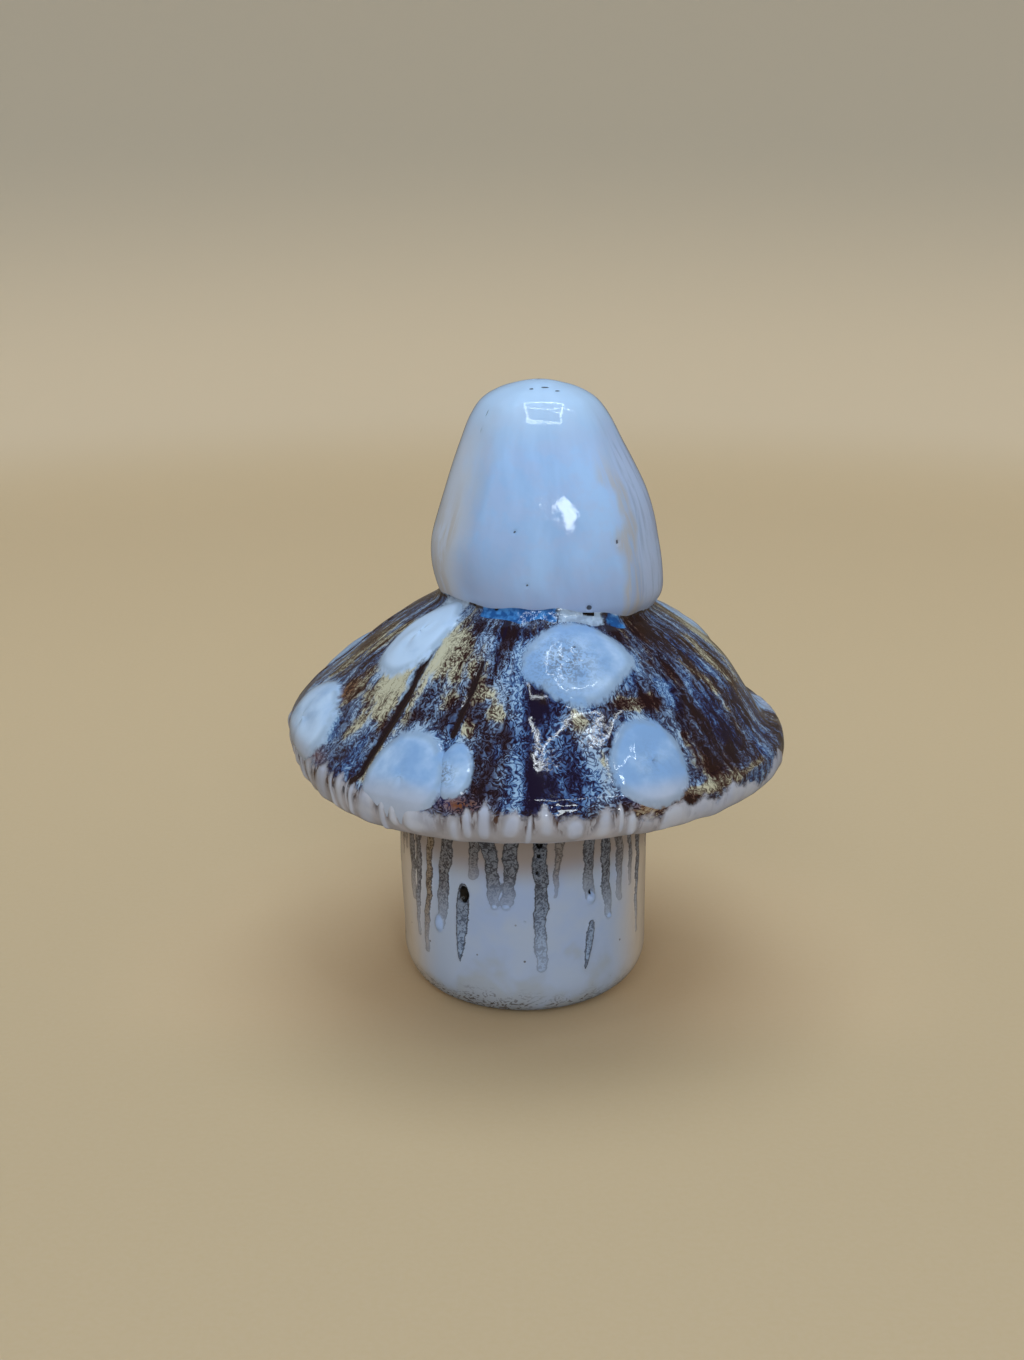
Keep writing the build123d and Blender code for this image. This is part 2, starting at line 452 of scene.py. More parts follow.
# Cap skin: the cap's outer line, from under the top dome down the slope and round the rim.
# Lumps are given, here and below, by height, seed, number of waves, most waves round and shortest wave along.

cap = {
    "crownRadius": 20.2,      # where the slope begins, beside the top dome
    "crownRise": 1.6,         # above the top of the cap's own node
    "edgeInset": 1.2,         # of the slope's lower end, from the widest reach of the rim
    "bulge": 1.65,            # of the slope, out from a straight line
    "slopeShares": (-0.14, 0.0, 0.2, 0.4, 0.6, 0.8, 1.0),
    # rim, from its reach and top
    "band": [(-0.15, -1.7), (0.0, -3.8), (-0.6, -6.0), (-1.9, -7.6), (-4.0, -8.2)],
    "bandStep": 0.06,         # share of the slope's length from one point of the rim to the next
    "tableRows": 600,
    "lumps": (0.28, 11, 10, 6, 34.0),
    "lumpsFrom": -0.2,        # share of the slope where they begin
    "lumpsUp": 0.7,           # how much of a lump goes up, and how much out
    "lumpsOut": 0.6,
    # angle where the rim hangs lowest, by how much, shares from and to; then a further sag, with its spread
    "droop": (-18.0, 1.15, 0.1, 1.0),
    "sag": (-42.0, 0.55, 0.9, 0.5, 1.1),
    # the rim's band drawn in, or let out: angle, spread, shares from and to, depth
    "tucks": [(-82.0, 0.6, 0.96, 1.14, 1.2), (78.0, 0.6, 1.10, 1.21, -0.6)],
    # swells of the slope: angle, spread, share and its spread, height
    "swells": [(-88.0, 0.5, 0.86, 0.20, 1.0), (98.0, 0.8, 0.84, 0.20, -2.0), (100.0, 0.7, 0.96, 0.10, -1.3)],
    "tuckShare": 1.17,        # where the cap's skin turns in behind the frill
    "slopeRows": 126,
    "columns": 720,
    # underside, from the middle out: reach, and height over the stem's top or over the foot of the lip
    "overStem": [(6.0, 0.6), (29.0, 0.2)],
    "overLip": [(35.5, 8.6), (40.2, 2.6), (41.6, 0.2), (43.2, -0.2), (44.6, 0.2), (45.6, 0.9)],
    "underRows": 26,
    "underLumps": (0.25, 12),
    "groove": (0.22, 0.8),    # depth of a dark line, and its reach in line widths
    "grooveLip": (0.12, 1.7),           # height of the lip beside it, and how far off
    "ripple": (0.035, 13, 16, 22, 8.0),
    "rippleAt": (-1, 2),      # millimetres from a spot
}

crown = np.array([cap["crownRadius"], capHigh[2] + cap["crownRise"]])
edge = np.array([rimReach - cap["edgeInset"], frillHigh[2]])
slopeLength = float(np.hypot(*(edge - crown)))
slopeNormal = np.array([crown[1] - edge[1], edge[0] - crown[0]]) / slopeLength


def slopeLine(share):
    # straight from crown to edge, plus a parabola of the bulge's height out from it
    share = np.asarray(share, float)[..., None]
    return crown + share * (edge - crown) + slopeNormal * 4 * cap["bulge"] * share * (1 - share)


bandShares = 1 + cap["bandStep"] * np.arange(1, len(cap["band"]) + 1)
bandLine = np.array(cap["band"]) + (rimReach, frillHigh[2])
skinShares = np.concatenate([cap["slopeShares"], bandShares])
skinPoints = np.vstack([slopeLine(cap["slopeShares"]), bandLine])
skinTable = smoothThrough(np.column_stack([skinShares, skinPoints]), cap["tableRows"])


def skinLine(share):
    # reach and level of the outer line, before it is pressed out of round
    return [np.interp(share, skinTable[:, 0], skinTable[:, column]) for column in (1, 2)]


def skin(around, share):
    # the outer line turned round the cap's axis, with slow lumps, a rim that hangs by the cosine of the
    # angle from its lowest side, and bells round the cap for the sag, the tucks and the swells
    def bell(angle, spread):
        return bump(turnGap(around, math.radians(angle)), spread)

    reach, level = skinLine(share)
    lump = unevenness(around, share * slopeLength, *cap["lumps"]) * np.clip(share - cap["lumpsFrom"], 0, 1)
    angle, depth, start, end = cap["droop"]
    droop = depth * np.cos(around - math.radians(angle)) * smoothStep(share, start, end)
    angle, spread, depth, start, end = cap["sag"]
    sag = depth * bell(angle, spread) * smoothStep(share, start, end)
    level = level + cap["lumpsUp"] * lump - droop - sag
    reach = reach + cap["lumpsOut"] * lump
    for angle, spread, start, end, depth in cap["tucks"]:
        reach = reach - depth * bell(angle, spread) * smoothStep(share, start, end)
    for angle, spread, place, length, height in cap["swells"]:
        swell = height * bell(angle, spread) * bump(share - place, length)
        reach = reach + slopeNormal[0] * swell
        level = level + slopeNormal[1] * swell
    return turned(reach, around, level, capAxis[0])


def skinNormal(around, share):
    # cross product of a small step round the cap and a small step up it
    small = 0.004
    across = skin(around + small, share) - skin(around - small, share)
    uphill = skin(around, share - small) - skin(around, share + small)
    normal = np.cross(across, uphill)
    return normal / np.linalg.norm(normal, axis=-1, keepdims=True)


def overSkin(around, share, height):
    # points at this height over the skin, along its normal
    return skin(around, share) + skinNormal(around, share) * np.asarray(height)[..., None]


def shareAtReach(reach):
    # the share of the slope at which the outer line has this reach
    onSlope = skinTable[:, 0] <= 1
    return np.interp(reach, skinTable[onSlope, 1], skinTable[onSlope, 0])


# Spots: lenses of white glaze on the slope

spots = {
    # half: across and along the slope; nudge: round the cap and down the slope from the node's middle;
    # high: of the lens; pale: 0 is bluer and 1 whiter; thin: how much of a grey mottle shows through, and
    # thinPlace where; lobes: reach of the outline from the right, turning uphill, in eighths
    "usual": dict(pale=0.3, thin=0.0, thinPlace=(0.0, 0.0), lobes=(1.0,) * 8),
    "pads": {
        "spotUpperLeft": dict(
            node="spot_upper_left", half=(6.3, 10.2), nudge=(-0.4, -2.8), high=0.9, pale=1.15),
        "spotLeftEdge": dict(node="spot_left_edge", half=(9.4, 8.6), nudge=(-4.6, 2.2), high=1.2, pale=0.9),
        "spotLowerLeft": dict(node="spot_lower_left", half=(8.2, 9.0), nudge=(0.2, 2.2), high=1.2),
        "spotLowerSmall": dict(
            node="spot_lower_small", half=(4.0, 5.3), nudge=(-2.3, -0.9), high=0.65, thin=1.0,
            thinPlace=(-1.3, -0.8), lobes=(1.0, 1.0, 1.0, 0.85, 0.45, 0.55, 0.90, 1.0)),
        "spotUpperCentre": dict(
            node="spot_upper_centre", half=(10.4, 9.4), nudge=(-1.0, -1.6), high=0.8, thin=1.0,
            thinPlace=(-2.6, -0.6), lobes=(1.04, 0.98, 0.98, 0.96, 1.0, 0.84, 1.02, 0.82)),
        "spotLowerRight": dict(
            node="spot_lower_right", half=(7.4, 8.6), nudge=(-0.2, 0.9), high=0.9, pale=0.0, thin=0.15,
            lobes=(1.0, 1.0, 0.96, 0.98, 1.02, 1.04, 1.0, 0.98)),
        "spotRightEdge": dict(node="spot_right_edge", half=(4.8, 4.8), nudge=(3.0, 6.6), high=0.10, pale=0.1),
        "spotBackUpperRight": dict(
            node="spot_back_upper_right", half=(7.4, 8.0), nudge=(1.5, 0.0), high=0.5, pale=0.65, thin=0.4),
        "spotBackRight": dict(node="spot_back_right", half=(7.6, 8.6), nudge=(0.0, 0.8), high=1.0, pale=0.65),
        "spotBackCentre": dict(
            node="spot_back_centre", half=(8.6, 8.0), nudge=(0.0, 0.6), high=1.0, pale=0.65, thin=0.6),
        "spotBackUpperLeft": dict(
            node="spot_back_upper_left", half=(8.8, 8.2), nudge=(0.0, 0.0), high=0.9, pale=0.65, thin=0.2),
        "spotBackLeft": dict(node="spot_back_left", half=(7.4, 8.8), nudge=(0.0, 0.9), high=1.0, pale=0.65),
    },
    "firstSeed": 40,
    "lobeReach": 0.42,        # radians
    "waves": (3, 4, 5, 7),    # round the outline
    "waveHigh": 0.04,
    "waveSpread": (0.4, 1),
    "rings": 40,
    "columns": 128,
    "innermost": 0.02,        # ring, in shares of the outline
    "skirt": 1.16,            # outermost ring in shares of the outline; past the edge it wears the fur glaze
    "skirtFrom": 1.04,
    "sunk": 0.25,             # of the skirt's end, into the skin
    "lens": (2.6, 0.85),      # powers of the lens
    "rimHigh": 0.25,          # share of the height that is left past the rim
    "rimAt": (1.10, 0.96),
    "lumpHigh": 0.07,
    "lumpSpan": 14.0,
    "lumpWaves": (9, 4, 9.0),
    "lumpPower": 3,           # by which the lumps fade towards the edge
    "film": 0.16,             # thickness of the glaze at the edge
    "filmAt": (1.08, 0.9),
    "deep": 0.9,              # of the closed bottom, under the skin
    "thinReach": 0.5,
    "overAt": (0.92, 1.04),
    "cloud": (0.22, 3.0, 0.55),
    "cloudBy": 2.0,
    "whiteAt": (-0.2, 1.2),
    "white": ((0.20, 0.36, 0.65), (0.45, 0.63, 0.89)),
    "over": (0.8, (0.38, 0.45, 0.60)),        # duller white where a spot runs onto the rim
    "worm": (1.5, 2.5, 0.55, 0.9),
    "wormAt": (0.46, 0.58),
    "mottle": (0.8, (0.11, 0.14, 0.19)),
    "ringAt": (0.74, 0.90),
    "ringCloudAt": (0.34, 0.54),
    "ring": (0.55, (0.20, 0.29, 0.42)),
    "ragged": (0.30, (0.9, 0.9, 0.5), 3.0, 0.65),
    "edgeAt": (1.06, 0.93),
    "pinhole": (0.8, (0.05, 0.06, 0.08)),
    "peel": {"Wave Scale": 0.3, "Wave Depth": 0.12, "Pinholes": 0.10, "Pinhole Scale": 0.35},
}


def spotPlace(pad):
    # the middle of the pad's node as an angle round the cap and a share of the slope, then nudged
    low, high = nodeBox(pad["node"])
    middle = (low + high) / 2 - capAxis
    around = math.atan2(middle[0], -middle[1])
    reach = math.hypot(middle[0], middle[1])
    return around + pad["nudge"][0] / reach, shareAtReach(reach) + pad["nudge"][1] / slopeLength


def spotOutline(angle, pad):
    # reach of the outline in shares of its oval: the pad's own lobes, averaged under bells, and small waves
    rng = np.random.default_rng(pad["seed"])
    waves = 0.0
    for k in spots["waves"]:
        wave = np.cos(k * angle + rng.uniform(0, turn))
        waves = waves + spots["waveHigh"] * wave * rng.uniform(*spots["waveSpread"]) / (k - 1)
    lobes = pad["lobes"]
    weights = [bump(turnGap(angle, k * turn / len(lobes)), spots["lobeReach"]) for k in range(len(lobes))]
    return sum(lobe * weight for lobe, weight in zip(lobes, weights)) / sum(weights) + waves


pads = {}
for count, (name, own) in enumerate(spots["pads"].items()):
    pad = {**spots["usual"], **own, "seed": spots["firstSeed"] + count}
    pad["around"], pad["share"] = spotPlace(pad)
    pad["reach"] = float(skinLine(pad["share"])[0])
    pads[name] = pad


def spotGap(around, share):
    # millimetres from the nearest spot's outline, less than nothing inside it
    gap = np.full(np.broadcast(around, share).shape, np.inf)
    for pad in pads.values():
        across = turnGap(around, pad["around"]) * pad["reach"] / pad["half"][0]
        uphill = (pad["share"] - share) * slopeLength / pad["half"][1]
        oval = np.hypot(across, uphill) / spotOutline(np.arctan2(uphill, across), pad)
        gap = np.minimum(gap, (oval - 1) * min(pad["half"]))
    return gap


# Cap: slope with its glaze painted as attributes, and the plain underside

capGlaze = {
    "light": 0.33,            # of the fur's ladder, and its hue: 0 brown, 1 blue
    "hue": 0.58,
    "halo": 1.7,              # millimetres of paler glaze round a spot, how much lighter and how much bluer
    "haloLight": 0.24,
    "haloHue": 0.12,
    # patches: angle, share of the slope, half width, half length, then how much lighter and how much bluer
    "patches": [
        (-52, 0.54, 5.2, 8.6, 0.40, -0.50), (-36, 0.25, 5.2, 8.4, 0.42, -0.52),
        (-41.0, 0.88, 2.2, 4.0, 0.24, -0.45), (-19.7, 0.64, 1.7, 1.6, 0.55, -0.60),
        (-17, 0.43, 2.4, 1.7, 0.46, -0.60), (-12, 0.55, 2.0, 1.6, 0.14, -0.40),
        (10, 0.57, 2.3, 2.6, 0.26, -0.42), (14.5, 0.86, 2.8, 5.6, 0.34, -0.24),
        (12, 1.02, 2.6, 2.4, 0.26, -0.30), (-14, 0.03, 13.0, 1.7, -0.34, 0.0),
        (-35, 0.61, 4.2, 1.5, -0.26, -0.2), (-8.6, 0.69, 2.0, 3.0, -0.22, 0.0),
        (-2, 0.93, 1.5, 3.2, -0.12, -0.1), (-10, 0.96, 1.3, 2.4, -0.30, -0.1),
        (-67, 0.64, 1.9, 2.6, -0.24, -0.55), (49, 0.10, 6.0, 4.2, -0.22, -0.40),
        (47.5, 0.36, 3.0, 5.0, -0.20, -0.40), (46, 0.72, 3.0, 6.0, -0.12, -0.1),
        (30, 0.53, 5.2, 1.5, -0.32, -0.60), (30, 1.10, 11.0, 1.9, -0.34, -0.55),
        (43, 0.96, 5.0, 2.6, -0.22, -0.3), (5.5, 0.93, 3.4, 3.4, -0.02, 0.60),
        (54, 0.74, 3.6, 7.0, -0.08, 0.40), (40, 0.42, 2.4, 5.0, 0.14, 0.25),
        (61, 0.58, 1.5, 10.0, 0.20, -0.55), (75, 0.45, 2.2, 11.0, 0.26, -0.55),
        (-84, 0.45, 2.2, 9.0, 0.14, -0.50), (-4, 0.33, 5.0, 4.5, 0.06, 0.20),
        (0, 0.76, 4.0, 3.0, 0.14, 0.30), (-28, 0.75, 3.0, 2.0, 0.14, 0.1),
        (-22, 0.30, 2.0, 5.0, -0.14, -0.2), (66, 0.9, 3.0, 4.0, 0.10, 0.2),
        (-22, 0.92, 1.6, 3.2, 0.14, -0.05), (66, 0.48, 15.0, 14.0, -0.02, 0.10),
        (4, 0.84, 9.0, 7.0, -0.04, 0.16), (3, 0.64, 4.5, 4.0, 0.22, 0.20),
        (-48, 0.55, 16.0, 14.0, 0.09, 0.07), (38, 1.05, 6.0, 1.0, 0.36, -0.60),
        (56, 1.05, 6.0, 1.0, 0.24, -0.60), (-72, 0.3, 9.0, 12.0, 0.02, -0.28),
        (-28, 0.38, 6.0, 7.0, 0.0, -0.18), (-62, 0.42, 8.0, 9.0, -0.02, -0.18),
        (37, 0.84, 4.5, 7.0, -0.06, -0.25), (-6, 0.60, 8.0, 11.0, -0.18, 0.02),
        (-1, 0.86, 8.5, 6.5, -0.09, 0.28), (52, 0.88, 7.0, 5.0, -0.20, 0.0),
        (3, 0.82, 6.0, 7.0, 0.13, 0.10), (3, 0.95, 5.0, 3.6, 0.13, 0.12),
    ],
    # rust along the rim: angle, share, half width, half length, strength
    "amber": [
        (-17, 1.03, 4.5, 1.6, 1.0), (25, 1.07, 6.0, 1.8, 0.7), (-67, 0.64, 1.8, 2.6, 0.8),
        (-60, 1.0, 3.0, 1.6, 0.6), (100, 1.04, 5.0, 1.6, 0.8), (150, 1.02, 4.0, 1.6, 0.7),
        (-140, 1.04, 6.0, 1.6, 0.8)],
    # dark lines down the slope: width, then angle and share of each point
    "lines": [
        (1.0, [(-45.0, 0.20), (-42.2, 0.52), (-43.0, 0.77), (-43.6, 0.98), (-46.0, 1.06)]),
        (0.7, [(-21.0, 0.26), (-21.5, 0.45), (-22.4, 0.60), (-22.9, 0.68)]),
        (1.0, [(128.0, 0.15), (126.0, 0.55), (127.5, 0.98)]),
        (0.7, [(-166.0, 0.22), (-167.5, 0.60), (-166.0, 0.92)]),
        (0.9, [(-99.0, 0.18), (-97.0, 0.60), (-98.5, 1.00)]),
    ],
    "lineFar": 9.0,           # line widths, for all that is farther off
    "lineSide": (0.10, 2.0, 0.9),             # how much lighter beside a line, how far off and its spread
    "backPatches": 34,        # over the side that the photograph doesn't show
    "backSeed": 5,
    "backAngles": (82, 268),
    "backShift": 0.2,         # up or down the slope
    "backShares": (0.02, 1.05),
    "combFrom": -6.0,         # angle where the streaks are weakest, their least strength, and radians to full
    "combLeast": 0.2,
    "combAt": (0.35, 0.9),
    "flowRadius": 36.0,
    "under": (0.42, 0.44, 0.46),
    "underAt": (0.0, -2.0),   # millimetres up from where the skin turns in
    "underGap": -9.0,         # the same, for the whole underside
    "marksHigh": 0.002,
    "peel": {"Wave Scale": 0.30, "Wave Depth": 0.04, "Pinholes": 0.05, "Pinhole Scale": 0.35},
}


def backPatches():
    # patches drawn from the photographed ones and put at random round the side that isn't seen
    rng = np.random.default_rng(capGlaze["backSeed"])
    known = np.array(capGlaze["patches"])
    picked = known[rng.integers(0, len(known), capGlaze["backPatches"])]
    picked[:, 0] = rng.uniform(*capGlaze["backAngles"], len(picked))
    shift = rng.uniform(-capGlaze["backShift"], capGlaze["backShift"], len(picked))
    picked[:, 1] = np.clip(picked[:, 1] + shift, *capGlaze["backShares"])
    return [tuple(row) for row in picked]


capPatches = capGlaze["patches"] + backPatches()


def lineGap(around, share, reach):
    # distance to the nearest dark line in shares of its width, across it or past its ends
    gap = np.full(around.shape, capGlaze["lineFar"])
    for width, line in capGlaze["lines"]:
        degrees, shares = np.transpose(line)
        across = np.abs(turnGap(around, np.interp(share, shares, np.radians(degrees)))) * reach
        past = np.maximum(0, np.maximum(shares[0] - share, share - shares[-1])) * slopeLength
        gap = np.minimum(gap, np.hypot(across, past) / width)
    return gap


def capPaint(around, share):
    # what the fur glaze reads: bell-shaped patches summed, paler round the spots and beside the dark lines
    reach = skinLine(share)[0]

    def patch(angle, place, halfWidth, halfLength):
        across = turnGap(around, math.radians(angle)) * reach
        return bump(across, halfWidth) * bump((share - place) * slopeLength, halfLength)

    light = capGlaze["light"]
    hue = capGlaze["hue"]
    for *place, lighter, bluer in capPatches:
        bell = patch(*place)
        light = light + lighter * bell
        hue = hue + bluer * bell
    amber = sum(strength * patch(*place) for *place, strength in capGlaze["amber"])
    halo = bump(np.maximum(spotGap(around, share), 0), capGlaze["halo"])
    line = lineGap(around, share, reach)
    lighter, beside, spread = capGlaze["lineSide"]
    sideways = np.abs(turnGap(around, math.radians(capGlaze["combFrom"])))
    least = capGlaze["combLeast"]
    return {
        "light": light + capGlaze["haloLight"] * halo + lighter * bump(line - beside, spread),
        "hue": hue + capGlaze["haloHue"] * halo,
        "comb": least + (1 - least) * smoothStep(sideways, *capGlaze["combAt"]),
        "amber": np.clip(amber, 0, 1),
        "line": line,
        "flow": turned(capGlaze["flowRadius"], around, share * slopeLength),
    }


def makeCap():
    # underside from the middle out to the lip, a step up behind the frill, then the slope to the crown
    overStem = np.array(cap["overStem"]) + (0, stemHigh[2])
    overLip = np.array(cap["overLip"]) + (0, capLow[2])
    under = smoothThrough(np.vstack([overStem, overLip]), cap["underRows"])
    underAround, underReach = ringGrid(cap["columns"], under[:, 0])
    underLevel = under[:, 1:] + unevenness(underAround, underReach, *cap["underLumps"])
    bottom = turned(underReach, underAround, underLevel, capAxis[0])
    shares = np.linspace(cap["tuckShare"], skinTable[0, 0], cap["slopeRows"])
    around, share = ringGrid(cap["columns"], shares)
    slope = capPaint(around, share)
    below = capPaint(underAround, np.full(underAround.shape, cap["tuckShare"]))
    depth, reach = cap["groove"]
    lip, beside = cap["grooveLip"]
    groove = lip * bump(slope["line"] - beside, reach) - depth * bump(slope["line"], reach)
    ripple = unevenness(around, share * slopeLength, *cap["ripple"])
    ripple = ripple * smoothStep(spotGap(around, share), *cap["rippleAt"])
    top = overSkin(around, share, groove + ripple)
    painted = {key: np.concatenate([below[key], slope[key]]) for key in slope}
    underGap = np.full(underAround.shape, capGlaze["underGap"])
    painted["rimGap"] = np.vstack([underGap, (cap["tuckShare"] - share) * slopeLength])
    poles = ((capAxis[0], 0, under[0, 1]), (capAxis[0], 0, float(np.mean(top[-1, :, 2]))))
    return makePiece("capShell", np.concatenate([bottom, top]), poles, values=painted)


def capMaterial():
    # fur glaze on the slope, plain off-white below the rim
    material, bench, inputs = newMaterial("capFurGlaze")
    furs = furOn(bench)
    colour = bench.tint(bench.attribute("rimGap"), capGlaze["underAt"], furs["Colour"], capGlaze["under"])
    peel = bench.group(glazeSkin, {"Vector": bench.objectMm(), **capGlaze["peel"]})
    height = peel["Height"] + furs["Level"] * capGlaze["marksHigh"]
    finishGlaze(bench, inputs, colour, height, peel["Roughness"])
    return material


capShell = makeCap()
wear(capShell, capMaterial())
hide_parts("cap_bowl")


# Rim frill: a white band pressed into nubs, which feather out onto the slope

frill = {
    "nubs": 90,
    "perNub": 13,
    "outerRows": 66,
    "innerRows": 6,
    "topShare": 0.88,         # where the band starts on the slope, sunk under the cap's skin
    "footShare": 1.285,
    "seed": 21,
    "widths": (0.4, 1.7),     # of the nubs, against each other
    "bells": (0.22, 0.34),    # reach of a nub's bell, in shares of its width
    "stands": (0.1, 1.15),    # how far a nub stands out, against the ridge
    "feet": (1.165, 1.245),   # shares between which a nub runs out at the lower end
    "footFade": (0.03, -0.03),
    "sway": (0.020, 23, 12, 30),
    "swaySpan": 16,
    # angle and share of the slope where the white ends, and how much that differs from nub to nub
    "ends": [
        (-180, 1.04), (-90, 1.03), (-45, 1.03), (-28, 1.05), (-5, 1.075), (20, 1.07), (27, 1.15),
        (33, 1.12), (38, 1.095), (50, 1.12), (62, 1.14), (80, 1.17), (104, 1.09), (180, 1.04)],
    "endSpread": 0.03,
    "endFade": (-0.02, 0.05),
    "tipSwing": 0.018,        # that the white goes further up on a nub, and less far between
    "smoothAngles": (24.0, 92.0),     # degrees between which the band is nearly plain
    "smoothFade": 0.2,
    "plainNubs": 0.92,        # how much of the nubs, and of the tips and grooves, is lost there
    "plainTips": 0.8,
    "film": 0.06,             # thickness over the slope, and how far the top edge is sunk
    "sunk": 0.4,
    "sunkAt": (0.90, 1.0),
    "thick": 0.28,            # that the band stands out from the skin
    "thickFade": (-0.02, 0.08),
    "ridge": 0.42,            # height of a nub over the band
    "bead": 0.16,             # swelling of its lower end
    "beadPlace": (0.03, 0.02),        # share up from the nub's foot, and its reach
    "ripple": (0.05, 24, 12, 60, 8.0),
    "rippleSpan": 40,
    "rippleAt": (1.0, 1.1),
    "tuck": (0.5, 0.05),      # depth of the lower edge, and over what share
    "behind": 2.2,            # that the hidden side lies under the skin
    "caught": (0.2, 1.0),     # how much fur glaze stays in the grooves
    "caughtLeft": (-72, 0.5, 0.9),            # angle, spread and how much more
    "nubLeast": 0.3,          # whiteness of a nub that doesn't stand out
    "plainWhite": 0.45,
    "endLimits": (-9, 12),    # millimetres from the white's end, and what the hidden side has
    "hiddenEnd": 9,
    "cloud": (0.16, 3.0, 0.55),
    "cloudAt": (0.38, 0.62),
    "nub": ((0.36, 0.42, 0.57), (0.42, 0.48, 0.61)),
    "gap": ((0.29, 0.31, 0.37), (0.36, 0.38, 0.46)),
    "nubAt": (0.05, 0.55),
    "brushed": ((1.3, 1.3, 0.35), 3.0, 0.6, 0.4),
    "brushedAt": (0.40, 0.58),
    "caughtAt": (4.2, 0.6),
    "caughtBy": 1.3,
    "stainAt": (0.45, 0.55),
    "stain": ((0.060, 0.032, 0.024), (0.075, 0.080, 0.105)),
    "ragged": (3.2, 0.8, 3.0, 0.6),
    "overAt": (-0.5, 0.9),
    "pinhole": (0.7, (0.08, 0.08, 0.09)),
    "peel": {"Wave Scale": 0.5, "Wave Depth": 0.06, "Pinholes": 0.08, "Pinhole Scale": 0.5},
}


def makeFrill():
    # band over the skin: each nub is a bell across and fades out at both ends along the slope
    rng = np.random.default_rng(frill["seed"])
    nubs = frill["nubs"]
    shares = np.linspace(frill["footShare"], frill["topShare"], frill["outerRows"])
    around, share = ringGrid(nubs * frill["perNub"], shares)

    def nearEnd(end, limits):
        return smoothStep(share, end + limits[0], end + limits[1])

    starts = np.concatenate([[0], np.cumsum(rng.uniform(*frill["widths"], nubs))])
    starts = starts / starts[-1] * turn
    sway = unevenness(around, share * frill["swaySpan"], *frill["sway"])
    count = np.interp((around + sway) % turn, starts, np.arange(nubs + 1)) % nubs
    index = np.floor(count).astype(int) % nubs
    degrees = (np.degrees(starts[:-1] + starts[1:]) / 2 + 180) % 360 - 180
    ends = np.interp(degrees, *np.transpose(frill["ends"])) + rng.normal(0, frill["endSpread"], nubs)
    numbers = np.arange(-1, nubs + 1)
    softEnd = np.interp(count, numbers + 0.5, ends[numbers % nubs])
    width = rng.uniform(*frill["bells"], nubs)[index]
    brim = bump(0.5, width)
    ridge = (bump(count - np.floor(count) - 0.5, width) - brim) / (1 - brim)
    low, high = np.radians(frill["smoothAngles"])
    fade = frill["smoothFade"]
    plain = smoothStep(around, low, low + fade) * smoothStep(around, high, high - fade)
    tips = 1 - frill["plainTips"] * plain
    foot = rng.uniform(*frill["feet"], nubs)[index]
    stand = rng.uniform(*frill["stands"], nubs)[index] * (1 - frill["plainNubs"] * plain)
    nub = ridge * nearEnd(ends[index], frill["endFade"]) * nearEnd(foot, frill["footFade"])
    tip = softEnd + frill["tipSwing"] * (1 - 2 * ridge) * tips
    rise = smoothStep(share, *frill["sunkAt"])
    lift = frill["film"] * rise - frill["sunk"] * (1 - rise)
    lift = lift + frill["thick"] * nearEnd(softEnd, frill["thickFade"])
    up, reach = frill["beadPlace"]
    lift = lift + stand * (frill["ridge"] * nub + frill["bead"] * ridge * bump(share - foot + up, reach))
    ripple = unevenness(around, share * frill["rippleSpan"], *frill["ripple"])
    lift = lift + ripple * smoothStep(share, *frill["rippleAt"])
    depth, length = frill["tuck"]
    lift = lift - depth * smoothStep(share, frill["footShare"] - length, frill["footShare"])
    outer = overSkin(around, share, lift)
    innerShares = np.linspace(frill["topShare"], frill["footShare"], frill["innerRows"])
    innerAround, innerShare = ringGrid(nubs * frill["perNub"], innerShares)
    blank = np.zeros(innerAround.shape)
    inner = overSkin(innerAround, innerShare, blank - frill["behind"])
    shown, hidden = capPaint(around, share), capPaint(innerAround, innerShare)
    painted = {key: np.concatenate([shown[key], hidden[key]]) for key in shown}
    angle, spread, more = frill["caughtLeft"]
    left = more * bump(turnGap(around, math.radians(angle)), spread)
    caught = (1 - ridge) ** 2 * tips * (rng.uniform(*frill["caught"], nubs)[index] + left)
    white = np.maximum(nub * np.minimum(stand + frill["nubLeast"], 1), frill["plainWhite"] * plain)
    fromEnd = np.clip((share - tip) * slopeLength, *frill["endLimits"])
    painted["groove"] = np.vstack([caught, blank])
    painted["nub"] = np.vstack([white, blank])
    painted["nubEnd"] = np.vstack([fromEnd, blank + frill["hiddenEnd"]])
    return makePiece("rimFrill", np.concatenate([outer, inner]), ringClosed=True, values=painted)


def frillMaterial():
    # white nubs over the fur glaze, which stays in the grooves and between the tips
    material, bench, inputs = newMaterial("frillGlaze")
    furs = furOn(bench)
    flow = bench.attribute("flow", "Vector")
    place = bench.objectMm()
    end = bench.attribute("nubEnd")
    cloud = bench.noise(place, *frill["cloud"])
    nub = bench.tint(cloud, frill["cloudAt"], *frill["nub"])
    gap = bench.tint(cloud, frill["cloudAt"], *frill["gap"])
    white = bench.tint(bench.attribute("nub"), frill["nubAt"], gap, nub)
    brushed = bench.step(bench.noise(flow, *frill["brushed"]), *frill["brushedAt"])
    caught = bench.attribute("groove") * brushed * bench.step(end, *frill["caughtAt"])
    stain = bench.tint(cloud, frill["stainAt"], *frill["stain"])
    colour = bench.blend(caught * frill["caughtBy"], white, stain)
    colour = bench.tint(end + bench.swing(flow, *frill["ragged"]), frill["overAt"], furs["Colour"], colour)
    peel = bench.group(glazeSkin, {"Vector": place, **frill["peel"]})
    colour = bench.lay(colour, peel["Pinhole"], *frill["pinhole"])
    finishGlaze(bench, inputs, colour, peel["Height"], peel["Roughness"])
    return material


rimFrill = makeFrill()
wear(rimFrill, frillMaterial())
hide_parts("rim_frill")


